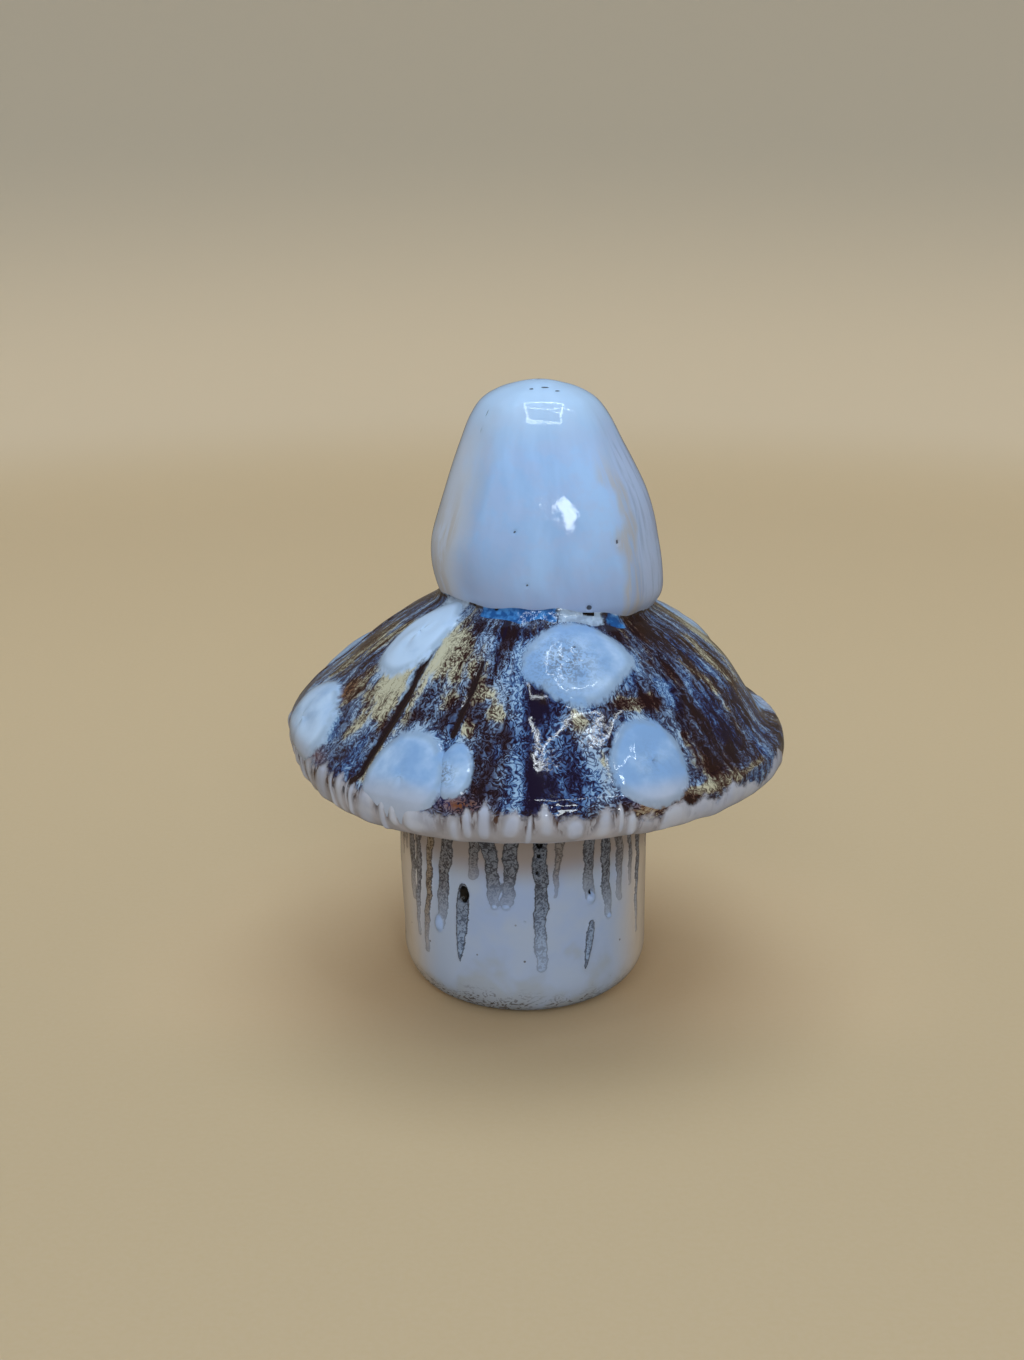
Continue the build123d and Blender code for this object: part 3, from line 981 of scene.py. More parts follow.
def makeSpot(name, pad):
    # a lens over an uneven oval: full in the middle, thin at the edge, with a skirt sunk into the skin
    ring = np.linspace(spots["skirt"], spots["innermost"], spots["rings"])
    angle, inside = ringGrid(spots["columns"], ring)
    out = inside * spotOutline(angle, pad)
    across = out * np.cos(angle) * pad["half"][0]
    uphill = out * np.sin(angle) * pad["half"][1]
    around = pad["around"] + across / pad["reach"]
    share = pad["share"] - uphill / slopeLength
    within = np.minimum(inside, 1)
    power, root = spots["lens"]
    left = spots["rimHigh"]
    onSlope = left + (1 - left) * smoothStep(share, *spots["rimAt"])
    high = pad["high"] * (1 - within ** power) ** root * onSlope
    lump = unevenness(angle, out * spots["lumpSpan"], spots["lumpHigh"], pad["seed"], *spots["lumpWaves"])
    high = high + lump * (1 - within ** spots["lumpPower"])
    high = high + spots["film"] * smoothStep(inside, *spots["filmAt"])
    high = high - spots["sunk"] * smoothStep(inside, spots["skirtFrom"], spots["skirt"])
    top = overSkin(around, share, high)
    base = overSkin(around[:1], share[:1], 0 * high[:1] - spots["deep"])
    low = overSkin(pad["around"], pad["share"], -spots["deep"])
    peak = overSkin(pad["around"], pad["share"], np.mean(high[-1]))
    fromThin = np.hypot(across - pad["thinPlace"][0], uphill - pad["thinPlace"][1])
    shown = {
        "out": inside,
        "thin": pad["thin"] * bump(fromThin, spots["thinReach"] * min(pad["half"])),
        "pale": np.full(around.shape, pad["pale"]),
        "over": smoothStep(share, *spots["overAt"]),
        **capPaint(around, share),
    }
    painted = {key: np.concatenate([value[:1], value]) for key, value in shown.items()}
    return makePiece(name, np.concatenate([base, top]), (low, peak), values=painted)


def spotMaterial():
    # milky white that feathers out into the fur glaze
    material, bench, inputs = newMaterial("spotGlaze")
    furs = furOn(bench)
    place = bench.objectMm()
    out = bench.attribute("out")

    cloud = bench.noise(place, *spots["cloud"])
    tone = bench.attribute("pale") + bench.centre(cloud, spots["cloudBy"])
    colour = bench.tint(tone, spots["whiteAt"], *spots["white"])
    colour = bench.lay(colour, bench.attribute("over"), *spots["over"])
    # thin glaze lets a grey worm mottle through
    worm = bench.step(bench.noise(place, *spots["worm"]), *spots["wormAt"])
    colour = bench.lay(colour, bench.attribute("thin") * worm, *spots["mottle"])
    # a dimmer ring inside the edge, then ragged feathers
    ring = bench.step(out, *spots["ringAt"]) * bench.step(cloud, *spots["ringCloudAt"])
    colour = bench.lay(colour, ring, *spots["ring"])
    ragged = bench.swing(bench.attribute("flow", "Vector"), *spots["ragged"])
    colour = bench.tint(out + ragged, spots["edgeAt"], furs["Colour"], colour)
    peel = bench.group(glazeSkin, {"Vector": place, **spots["peel"]})
    colour = bench.lay(colour, peel["Pinhole"], *spots["pinhole"])
    finishGlaze(bench, inputs, colour, peel["Height"], peel["Roughness"])
    return material


spotGlaze = spotMaterial()
for name, pad in pads.items():
    spot = makeSpot(name, pad)
    wear(spot, spotGlaze)
    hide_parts(pad["node"])


# Top dome: an upright loaf of white glaze with a flat front panel between two soft ridges

dome = {
    # height, left and right reach seen from the front
    "outline": [
        (76.4, -13.4, 23.4), (78.4, -14.8, 25.2), (81.0, -16.3, 26.3), (85.7, -17.5, 26.0),
        (90.3, -17.6, 25.2), (95.0, -16.5, 24.3), (99.6, -15.1, 22.9), (104.1, -13.6, 20.8),
        (108.6, -11.9, 18.4), (113.1, -10.1, 16.0), (116.3, -8.0, 13.5), (118.3, -4.9, 10.3),
        (119.4, -1.6, 7.0), (119.9, 0.8, 4.6), (120.0, 2.6, 2.8),
    ],
    "depthShare": 0.79,       # depth of the loaf from its width
    "frontPower": 2.5,        # squareness of the oval, in front and behind
    "backPower": 2.4,
    "powerFade": 0.3,         # cosine of the angle over which one goes into the other
    # flats pressed into the loaf: angle, and distance in shares of a plain ellipse; soft rounds their ridges
    "flats": [(-52.0, 1.01), (57.0, 1.03), (140.0, 1.02), (-150.0, 1.02)],
    "flatEnd": 0.2,           # cosine of the angle past which a flat goes no farther out
    "soft": 0.6,
    # pits and scratches: angle, height, half width, half height
    "pits": [
        (22.2, 80.9, 0.55, 0.55), (-20.2, 94.8, 0.28, 0.25), (42.0, 92.7, 0.30, 0.40),
        (-13.0, 85.3, 0.28, 0.25), (-60.6, 111.6, 0.16, 1.5), (-61.6, 114.6, 0.14, 0.9),
        (-19.0, 118.9, 0.6, 0.10), (12.2, 119.1, 0.9, 0.08), (32.8, 118.6, 0.5, 0.10),
        (118.0, 97.0, 0.35, 0.40), (-140.0, 88.0, 0.40, 0.35), (176.0, 104.0, 0.30, 0.30)],
    "pitDeep": 0.35,
    "pitAt": (0.4, 1.2),
    "lumps": (0.12, 31, 10, 4, 30.0),
    "lumpsAt": (4, 14),       # half width of the dome
    "rows": 170,
    "columns": 300,
    "flowRadius": 20.0,
    "middle": 4.0,            # across, of the bearings round the dome
    "cloud": ((0.10, 0.10, 0.05), 3.0, 0.55),
    "whiteAt": (0.36, 0.64),
    "white": ((0.265, 0.455, 0.80), (0.32, 0.53, 0.89)),
    "mottle": (0.24, 4.0, 0.6),
    "mottleWash": (0.42, 0.62, 0.3, (0.37, 0.46, 0.74)),
    # painted light and shade: the top washed paler, where the overhead lamps fall, and the lower part washed
    # darker near the cap
    "topLightWash": (107.0, 119.0, 0.8, (0.395, 0.555, 0.76)),
    "lowWash": (92.0, 79.0, 0.6, (0.30, 0.40, 0.66)),
    "lowBy": 40.0,
    "softBy": 0.5,
    "wander": (0.45, 0.11, 1.0, 0.5),
    "belowTopAt": (118.0, 106.0),
    "fine": ((0.50, 0.50, 0.075), 4.0, 0.65, 0.5),
    "greyAt": (0.36, 0.56),
    "grey": ((0.30, 0.375, 0.56), (0.40, 0.51, 0.75)),
    # flanks: radians round the dome where each begins and where it ends; the right one is painted greyer,
    # partly painted shade and partly grey streaks, the left one painted lighter and warmer as painted side
    # light
    "rightAt": ((0.72, 1.12), (2.5, 1.8)),
    "rightBy": 0.75,
    "leftAt": ((-0.70, -1.15), (-2.6, -2.0)),
    "left": (0.8, (0.49, 0.57, 0.70)),
    # warm upright bands beside the ridges, partly painted reflection of the warm paper and partly streaks of
    # thin glaze: middle, half width, strength and top
    "streaksAndSheens": [(0.88, 0.15, 0.65, 112.0), (-1.22, 0.22, 0.6, 104.0), (2.5, 0.2, 0.5, 100.0)],
    "streakAndSheen": (0.40, 0.39, 0.37),
    "streakAndSheenFull": 0.2,         # share of the half width that has its full strength
    "streakAndSheenFade": 12.0,
    "streakAndSheenFineAt": (0.34, 0.56),
    "pitDarkAt": (0.55, 0.85),
    "pinhole": (0.9, (0.03, 0.035, 0.05)),
    "peel": {"Wave Scale": 0.22, "Wave Depth": 0.10, "Ripple": 0.12, "Pinholes": 0.03, "Pinhole Scale": 0.3},
}
domeLine = smoothThrough(dome["outline"], dome["rows"])
domeRows = np.arange(dome["rows"])


def domeSkin(around, row):
    # superellipse ovals: each point's distance from the middle is the inverse power mean of width and depth
    level, left, right = (np.interp(row, domeRows, column) for column in domeLine.T)
    wide = (right - left) / 2
    deep = wide * dome["depthShare"]
    sideways, forward = np.sin(around), np.cos(around)
    front = smoothStep(forward, -dome["powerFade"], dome["powerFade"])
    power = dome["backPower"] + (dome["frontPower"] - dome["backPower"]) * front
    reach = (np.abs(sideways / wide) ** power + np.abs(forward / deep) ** power) ** (-1 / power)
    for degrees, share in dome["flats"]:
        # soft minimum of the oval and a straight cut across it
        angle = math.radians(degrees)
        oval = 1 / np.hypot(math.sin(angle) / wide, math.cos(angle) / deep)
        flat = share * oval / np.maximum(np.cos(turnGap(around, angle)), dome["flatEnd"])
        reach = -dome["soft"] * np.logaddexp(-reach / dome["soft"], -flat / dome["soft"])
    reach = reach + smoothStep(wide, *dome["lumpsAt"]) * unevenness(around, level, *dome["lumps"])
    return turned(reach, around, level, (left + right) / 2)


def makeDome():
    # the ovals stacked up the outline, with the pits pressed straight in
    around, row = ringGrid(dome["columns"], domeRows[:-1])
    points = domeSkin(around, row)
    level = points[..., 2]
    middle = domeLine[0, 1:].mean()
    poles = ((middle, 0, domeLine[0, 0]), (domeLine[-1, 1:].mean(), 0, domeLine[-1, 0]))
    pit = marksOn(around, level, np.hypot(points[..., 0] - middle, points[..., 1]), dome["pits"])
    points = points - turned(dome["pitDeep"] * smoothStep(pit, *dome["pitAt"]), around, 0.0)
    painted = {"flow": turned(dome["flowRadius"], around, level), "pit": pit, "height": level}
    return makePiece("topDome", points, poles, values=painted)


def domeMaterial():
    # milky blue-white, painted paler at the top and darker low down as painted light and shade; greyer and
    # streaked on the right flank, partly painted shade; the left flank painted lighter and warmer as painted
    # side light; warm bands beside the ridges, partly painted reflection of the warm paper
    material, bench, inputs = newMaterial("domeGlaze")
    place = bench.objectMm()
    flow = bench.attribute("flow", "Vector")
    level = bench.attribute("height")
    x, y, _ = bench.axes(place)
    cloud = bench.noise(flow, *dome["cloud"])
    fine = bench.noise(flow, *dome["fine"])
    soft = bench.centre(cloud, dome["softBy"])
    bearing = bench.calc("ARCTAN2", x - dome["middle"], y * -1.0) + soft + bench.swing(place, *dome["wander"])
    white = bench.tint(cloud, dome["whiteAt"], *dome["white"])
    white = bench.wash(white, bench.noise(place, *dome["mottle"]), *dome["mottleWash"])
    # painted light on the top, painted shade low down
    white = bench.wash(white, level, *dome["topLightWash"])
    white = bench.wash(white, level + soft * dome["lowBy"], *dome["lowWash"])
    belowTop = bench.step(level, *dome["belowTopAt"])

    def flank(begins, ends):
        return bench.step(bearing, *begins) * bench.step(bearing, *ends) * belowTop

    # flanks: the right greyer, partly painted shade and partly streaks; the left painted lighter and warmer
    # as painted side light
    grey = bench.tint(fine, dome["greyAt"], *dome["grey"])
    colour = bench.lay(white, flank(*dome["rightAt"]), dome["rightBy"], grey)
    colour = bench.lay(colour, flank(*dome["leftAt"]), *dome["left"])
    # warm bands: partly painted reflection of the warm paper, partly streaks of thin glaze
    for middle, half, strength, top in dome["streaksAndSheens"]:
        band = bench.step(bench.calc("ABSOLUTE", bearing - middle), half, half * dome["streakAndSheenFull"])
        band = band * bench.step(level, top, top - dome["streakAndSheenFade"]) * bench.step(fine, *dome["streakAndSheenFineAt"])
        colour = bench.lay(colour, band, strength, dome["streakAndSheen"])
    peel = bench.group(glazeSkin, {"Vector": place, **dome["peel"]})
    pit = bench.step(bench.attribute("pit"), *dome["pitDarkAt"])
    colour = bench.lay(colour, bench.calc("MAXIMUM", peel["Pinhole"], pit), *dome["pinhole"])
    finishGlaze(bench, inputs, colour, peel["Height"], peel["Roughness"])
    return material


topDome = makeDome()
wear(topDome, domeMaterial())
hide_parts("top_dome")


# Neck: a fillet of glaze in the corner between dome and cap, with blue pools

neck = {
    "climb": 1.0,             # up the dome, above the cap
    "climbLumps": (0.3, 34, 10, 14),
    "spread": 1.9,            # out over the cap
    "spreadLumps": (0.25, 33, 10, 18),
    "spreadLeast": 0.7,       # share of the spread where it is bare, and how much more under pools and milk
    "spreadMore": 0.6,
    "columns": 480,
    "arcRows": 18,
    "upperSunk": 0.25,        # of the fillet's ends, into the dome and into the cap
    "lowerSunk": 0.15,
    "corner": (0.5, 0.25),    # of the curve: in from the ring, and up from the cap
    "hidden": 2.0,            # that the closed inside lies behind and below the corner
    # from, to and strength round the neck, seen from the dome's middle
    "pools": [(-41.0, 2.0, 1.0), (32.0, 40.0, 1.0), (118.0, 136.0, 0.8), (-160.0, -128.0, 0.9)],
    "milk": [(4.0, 30.0, 1.0), (-72.0, -50.0, 0.9), (150.0, 186.0, 0.9)],
    "stretchFade": (0.10, -0.12),     # radians past the end of a stretch
    # painted shade: black where a gap opens under the dome's lip
    "pits": [(-47.0, 1.2), (-33.0, 1.2), (22.0, 3.5)],     # angle and half width, black gaps under the dome
    "pitAcross": (0.72, 0.14),        # share of the way up the fillet, and its reach
    "cloud": (0.55, 3.0, 0.6),
    "whiteAt": (0.4, 0.62),
    "white": ((0.26, 0.36, 0.52), (0.36, 0.50, 0.70)),
    "blueAt": (0.42, 0.60),
    "blue": ((0.016, 0.085, 0.29), (0.050, 0.22, 0.58)),
    "lowBy": 0.5,
    "poolBy": 0.8,
    "poolAt": (0.30, 0.55),
    "poolLowAt": (0.0, 0.14),
    "milkBy": 1.4,
    "milkAt": (0.40, 0.75),
    "milkLowAt": (0.02, 0.25),
    # painted shade: a dark line in the crease where the fillet meets the dome
    "creaseShadeAt": ((0.50, 0.66), (0.88, 0.72)),
    "creaseShadeBy": (0.9, 0.65),    # strength, and how much of it is lost under glaze
    "creaseShade": (0.030, 0.022, 0.022),
    "upperAt": (0.74, 0.92),
    "pitAt": (0.3, 0.6),
    "pit": (0.006, 0.005, 0.005),
    "peel": {"Wave Scale": 0.6, "Wave Depth": 0.2, "Pinholes": 0.10, "Pinhole Scale": 0.5},
}


def ontoCap(spot, lift):
    # the point of the cap's skin above or below each (x, y)
    x, y = spot[..., 0], spot[..., 1]
    around = np.arctan2(x - capAxis[0], -y)
    share = shareAtReach(np.hypot(x - capAxis[0], y))
    return np.stack([x, y, skin(around, share)[..., 2] + lift], -1), around, share


def alongNeck(stretches, around):
    # the strength of the stretch that a point is in, with soft ends
    total = np.zeros(around.shape)
    outer, inner = neck["stretchFade"]
    for start, end, strength in stretches:
        middle, half = math.radians((start + end) / 2), math.radians((end - start) / 2)
        inside = smoothStep(np.abs(turnGap(around, middle)), half + outer, half + inner)
        total = np.maximum(total, strength * inside)
    return total


def makeNeck():
    # hollow fillet: a quadratic curve pulled towards the corner, from a ring on the cap to a ring on the dome
    around = np.arange(neck["columns"]) * turn / neck["columns"]
    outward = turned(1.0, around, 0.0)
    row = np.interp(domeLow[2] + neck["climb"], domeLine[:, 0], domeRows)
    seat = ontoCap(domeSkin(around, np.full(around.shape, row)), 0.0)[0][:, 2]
    climb = neck["climb"] * (1 + unevenness(around, 0.0, *neck["climbLumps"]))
    ring = domeSkin(around, np.interp(seat + climb, domeLine[:, 0], domeRows))
    pool, milk = alongNeck(neck["pools"], around), alongNeck(neck["milk"], around)
    spread = neck["spread"] * (1 + unevenness(around, 0.0, *neck["spreadLumps"]))
    spread = spread * (neck["spreadLeast"] + neck["spreadMore"] * (pool + milk))
    inward, lift = neck["corner"]
    upper = ring - neck["upperSunk"] * outward
    lower = ontoCap(ring + outward * spread[:, None], -neck["lowerSunk"])[0]
    corner = ontoCap(ring - outward * inward, lift)[0]
    along = np.linspace(0, 1, neck["arcRows"])
    t = along[:, None, None]
    arc = (1 - t) ** 2 * lower + 2 * t * (1 - t) * corner + t ** 2 * upper
    hidden = corner - neck["hidden"] * (outward + (0, 0, 1))
    points = np.concatenate([arc, hidden[None]])
    wide, tall = np.meshgrid(around, np.append(along, 0.5))
    pit = np.zeros(wide.shape)
    for angle, half in neck["pits"]:
        inside = np.abs(turnGap(wide, math.radians(angle))) < math.radians(half)
        middle, reach = neck["pitAcross"]
        pit = np.maximum(pit, inside * bump(tall - middle, reach))
    _, capAround, capShare = ontoCap(points, 0.0)
    painted = {"pool": pool + 0 * wide, "milk": milk + 0 * wide, "pit": pit, "climb": tall}
    painted.update(capPaint(capAround, capShare))
    return makePiece("neckSeam", points, ringClosed=True, values=painted)


def neckMaterial():
    # fur glaze below and white above a dark line of painted shade in the crease, with blue pools and milky
    # bridges between
    material, bench, inputs = newMaterial("neckGlaze")
    furs = furOn(bench)
    place = bench.objectMm()
    cloud = bench.noise(place, *neck["cloud"])

    def patchy(key, by):
        return bench.attribute(key) + bench.centre(cloud, neck[by])

    white = bench.tint(cloud, neck["whiteAt"], *neck["white"])
    blue = bench.tint(cloud, neck["blueAt"], *neck["blue"])
    low = patchy("climb", "lowBy")
    pool = bench.step(patchy("pool", "poolBy"), *neck["poolAt"]) * bench.step(low, *neck["poolLowAt"])
    colour = bench.blend(pool, furs["Colour"], blue)
    milk = bench.step(patchy("milk", "milkBy"), *neck["milkAt"])
    colour = bench.blend(milk * bench.step(low, *neck["milkLowAt"]), colour, white)
    # painted shade in the crease, lighter where pools or milky glaze fill it
    strength, lost = neck["creaseShadeBy"]
    creaseShade = strength - bench.calc("MAXIMUM", milk, pool) * lost
    for limits in neck["creaseShadeAt"]:
        creaseShade = creaseShade * bench.step(low, *limits)
    colour = bench.blend(creaseShade, colour, neck["creaseShade"])
    colour = bench.tint(low, neck["upperAt"], colour, white)
    # painted shade of the gaps under the dome
    colour = bench.tint(bench.attribute("pit"), neck["pitAt"], colour, neck["pit"])
    peel = bench.group(glazeSkin, {"Vector": place, **neck["peel"]})
    finishGlaze(bench, inputs, colour, peel["Height"], peel["Roughness"])
    return material


neckSeam = makeNeck()
wear(neckSeam, neckMaterial())
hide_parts("neck_coil")


# Stem: a stout round foot with runs of dark glaze from under the cap

stem = {
    "footRadius": 24.1,
    "topRadius": 24.3,
    "footFlat": 15.2,         # radius of the flat that it rests on
    "footRise": 8.6,          # height of the rounding at the foot
    "footHole": 3.0,          # reach of the innermost ring of the flat
    "flatRows": 6,
    "heelRows": 24,
    "wallRows": 186,
    "wallOver": 0.3,          # that the wall runs on above the top of its node
    "flare": (2.2, 7),        # out at the top, and over what height
    "columns": 440,
    "lumps": (0.18, 41, 12, 6, 22.0),
    "uprightAt": (0.0, 5.0),  # height over which the lumps and runs begin
    "runHigh": 0.30,
    "runAt": (-0.25, 0.55),
    "pitDeep": 1.1,
    "pitAt": (0.5, 1.0),
    "beadHigh": 0.7,
    "beadAt": (0.5, 1.5),
    "flowRadius": 24.0,
    "warmSideLightAt": (0.70, 1.25),   # radians from the front
    # runs: angle at the top, angle and height at the end, width at top and end, tone (0 blue grey, 1 brown),
    # strength
    "runs": [
        (-75, -71.0, 30.0, 3.0, 1.6, 0.5, 0.8), (-66, -60.5, 21.0, 3.2, 1.8, 0.4, 0.95),
        (-56, -57.5, 14.0, 2.9, 1.2, 0.4, 0.95), (-46, -51.5, 11.4, 2.2, 1.5, 1.0, 0.95),
        (-35.2, -41.6, 17.6, 3.1, 2.5, 0.3, 1.0), (-22.6, -23.6, 29.6, 2.5, 2.0, 0.3, 1.0),
        (-17.2, -13.0, 24.2, 3.5, 2.3, 0.1, 1.0), (-4.6, -8.2, 24.4, 3.3, 2.3, 0.1, 1.0),
        (6.6, 7.6, 11.0, 3.1, 2.3, 0.0, 1.0), (16.6, 13.4, 26.4, 2.6, 0.7, 0.5, 0.8),
        (29.0, 30.2, 24.6, 2.5, 2.3, 0.1, 0.95), (37.5, 41.0, 20.0, 2.5, 2.1, 0.1, 1.0),
        (46.6, 49.0, 22.6, 3.2, 1.5, 0.3, 0.85), (55.0, 57.4, 24.4, 1.8, 1.2, 0.2, 0.9),
        (64.0, 64.4, 13.4, 2.6, 1.2, 0.1, 0.9), (75.0, 79.0, 29.0, 2.4, 1.4, 0.3, 0.8),
    ],
    "farRun": 9.0,            # millimetres, for all that is farther from a run
    "runTop": 46.0,
    "runPast": 1.2,           # share of a run's length, down to which it is worked out
    "runBend": 1.3,           # power by which a run turns from its top angle to its end's
    # sways of a run: millimetres, radians for each millimetre down, and radians from one run to the next
    "runSways": [(0.16, 0.45, 1.0), (0.12, 1.1, 2.3), (0.06, 2.3, 1.0)],
    "runBulge": (0.10, 0.8, 1.7),     # the same for its width, as a share
    "runPale": (0.55, 0.60, 1.0),     # strength that is lost, and shares of the way down from and to
    # the runs on the side that isn't seen: number, angles, and from and to of what differs
    "backRuns": 26,
    "backAngles": (88, 282),
    "backShift": 3.4,
    "backRanges": [(-5, 5), (11, 32), (1.4, 3.6), (0.8, 2.2), (0, 0.7), (0.55, 1.0)],
    "seed": 7,
    # lens-shaped streaks: angle and height at the top, angle and height at the end, width
    "lenses": [(-28.2, 28.6, -30.6, 11.8, 3.2), (31.6, 20.9, 28.5, 10.3, 2.2)],
    "lensFull": 0.62,         # power that puts the widest place of a lens above its middle
    "lensInset": 0.2,
    "lensTone": (0.05, 1.0),  # tone and strength
    # pits and beads: angle, height, half width, half height
    "pits": [
        (-28.2, 26.2, 1.0, 1.9), (6.4, 38.0, 0.75, 1.5), (6.0, 35.2, 0.42, 0.5), (5.4, 31.8, 0.26, 0.55),
        (30.6, 26.6, 0.35, 0.6), (160.0, 30.0, 0.6, 1.1), (-120.0, 27.0, 0.7, 1.4)],
    "beads": [
        (-42.0, 18.8, 1.3, 2.2), (31.0, 25.2, 1.2, 1.4), (-13.6, 24.6, 0.7, 0.6), (-8.4, 24.7, 0.9, 0.7),
        (41.2, 20.6, 0.6, 0.7), (122.0, 20.0, 0.9, 1.4), (-100.0, 22.0, 0.9, 1.2)],
    "cloud": (0.09, 3.0, 0.55),
    "whiteAt": (0.36, 0.64),
    "white": ((0.31, 0.44, 0.74), (0.36, 0.475, 0.70)),
    # warmer and greyer near the foot, in patches: partly the glaze's own tint, partly painted warm bounce
    # light from the floor
    "lowWash": (15.0, 3.0, 0.6, (0.34, 0.385, 0.41)),
    "lowBy": 60.0,
    # painted light: a warmer colour on the sides, turned away from the front, for the warm light from the
    # paper
    "side": (0.60, 0.57, 0.525),
    "shadowWash": (28.0, 35.0, 0.9, (0.275, 0.245, 0.235)),
    "ragged": (0.8, 1.3, 3.0, 0.65),
    "insideAt": (-0.04, 0.10),
    "worm": (1.35, 2.0, 0.6, 1.5),
    "wormAt": (0.40, 0.58),
    "grey": ((0.105, 0.160, 0.285), (0.27, 0.41, 0.68)),
    "brown": ((0.065, 0.045, 0.030), (0.25, 0.21, 0.16)),
    "deepAt": (0.40, 0.60),
    "deep": ((0.022, 0.023, 0.032), (0.130, 0.155, 0.205)),
    # runs darker up towards the cap: partly thicker glaze, partly painted shade under the cap
    "deepWash": (12.0, 32.0, 0.85),   # its coat is the deep colour
    "outlineAt": ((-0.02, 0.08), (0.38, 0.20)),
    "outline": (0.7, (0.034, 0.037, 0.050)),
    "beadPaleAt": (0.62, 0.9),
    "beadPale": (0.32, 0.47, 0.80),
    "pitDarkAt": (0.58, 0.74),
    "pitDark": (0.004, 0.004, 0.004),
    "scribble": ((0.40, 0.40, 0.75), 2.0, 0.6, 2.6),
    "scribbleAt": (0.55, 0.575),
    "nearBy": 10.0,
    "nearAt": (7.5, 2.5),
    "specks": (0.55, 0.11, (0.16, 0.08)),     # scale, share of the cells, outer and inner reach
    "specksAt": (34.0, 12.0),
    "dirt": (0.85, (0.062, 0.050, 0.040)),
    "wormHigh": 0.09,
    "dull": 0.20,             # roughness over that of the other glazes
    "peel": {"Wave Scale": 0.3, "Wave Depth": 0.10, "Pinholes": 0.06, "Pinhole Scale": 0.4},
}


def stemRuns():
    # photographed runs, then random ones of the same kind over the side that isn't seen
    rng = np.random.default_rng(stem["seed"])
    count, shift = stem["backRuns"], stem["backShift"]
    backs = []
    for angle in np.linspace(*stem["backAngles"], count) + rng.uniform(-shift, shift, count):
        bend, *drawn = [rng.uniform(low, high) for low, high in stem["backRanges"]]
        backs.append((angle, angle + bend, *drawn))
    return stem["runs"] + backs


def stemPaint(around, level):
    # distance in from the edge of the nearest run, its tone and strength; pits and beads as marks
    radius = stem["footRadius"]
    blank = np.zeros(around.shape)
    shapes = {"run": blank - stem["farRun"], "tone": blank, "strong": blank}

    def lay(inside, tone, strong):
        nearer = inside > shapes["run"]
        for key, value in (("run", inside), ("tone", tone), ("strong", strong)):
            shapes[key] = np.where(nearer, value, shapes[key])

    lost, *paleShares = stem["runPale"]
    bulge, bulgeTurn, bulgeNext = stem["runBulge"]
    for k, (start, end, foot, width, endWidth, tone, strong) in enumerate(stemRuns()):
        down = np.clip((stem["runTop"] - level) / (stem["runTop"] - foot), 0, stem["runPast"])
        sway = sum(by * np.sin(level * each + k * after) for by, each, after in stem["runSways"])
        middle = math.radians(start) + math.radians(end - start) * down ** stem["runBend"]
        across = turnGap(around, middle) * radius - sway
        half = (width + (endWidth - width) * down) / 2
        half = half * (1 + bulge * np.sin(level * bulgeTurn + k * bulgeNext))
        inside = half - np.hypot(across, np.maximum(0, foot + endWidth / 2 - level))
        lay(inside, tone, strong * (1 - lost * smoothStep(down, *paleShares)))
    for top, topHeight, end, foot, width in stem["lenses"]:
        down = np.clip((topHeight - level) / (topHeight - foot), 0, 1)
        middle = math.radians(top) + math.radians(end - top) * down
        half = width / 2 * np.sqrt(np.sin(math.pi * down ** stem["lensFull"]).clip(0))
        past = np.maximum(0, np.maximum(level - topHeight, foot - level))
        lay(half - np.abs(turnGap(around, middle)) * radius - stem["lensInset"] - past, *stem["lensTone"])
    shapes["pit"] = marksOn(around, level, radius, stem["pits"])
    shapes["bead"] = marksOn(around, level, radius, stem["beads"])
    return shapes


def makeStem():
    # profile turned round: flat foot, quarter-round heel, then a nearly straight wall up into the cap
    flat, foot, rise, top = stem["footFlat"], stem["footRadius"], stem["footRise"], stemHigh[2]
    heel = np.linspace(0, math.pi / 2, stem["heelRows"])[1:]
    wall = np.linspace(rise, top + stem["wallOver"], stem["wallRows"])[1:]
    out, over = stem["flare"]
    wallReach = foot + (stem["topRadius"] - foot) * (wall / top)
    wallReach = wallReach + out * smoothStep(wall, top - over, top) ** 2
    flatReach = np.linspace(stem["footHole"], flat, stem["flatRows"])
    levels = np.concatenate([0 * flatReach, rise * (1 - np.cos(heel)), wall])
    reaches = np.concatenate([flatReach, flat + (foot - flat) * np.sin(heel), wallReach])
    around, level = ringGrid(stem["columns"], levels)
    painted = stemPaint(around, level)
    upright = smoothStep(level, *stem["uprightAt"])
    lift = unevenness(around, level, *stem["lumps"]) * upright
    lift = lift + stem["runHigh"] * smoothStep(painted["run"], *stem["runAt"]) * painted["strong"]
    lift = lift - stem["pitDeep"] * smoothStep(painted["pit"], *stem["pitAt"])
    lift = lift + stem["beadHigh"] * smoothStep(painted["bead"], *stem["beadAt"])
    points = turned(reaches[:, None] + lift * upright, around, level)
    painted["flow"] = turned(stem["flowRadius"], around, level)
    painted["height"] = level
    # where the painted warm side light is laid
    painted["side"] = smoothStep(np.abs(turnGap(around, 0.0)), *stem["warmSideLightAt"])
    return makePiece("stemBody", points, ((0, 0, 0), (0, 0, levels[-1])), values=painted)


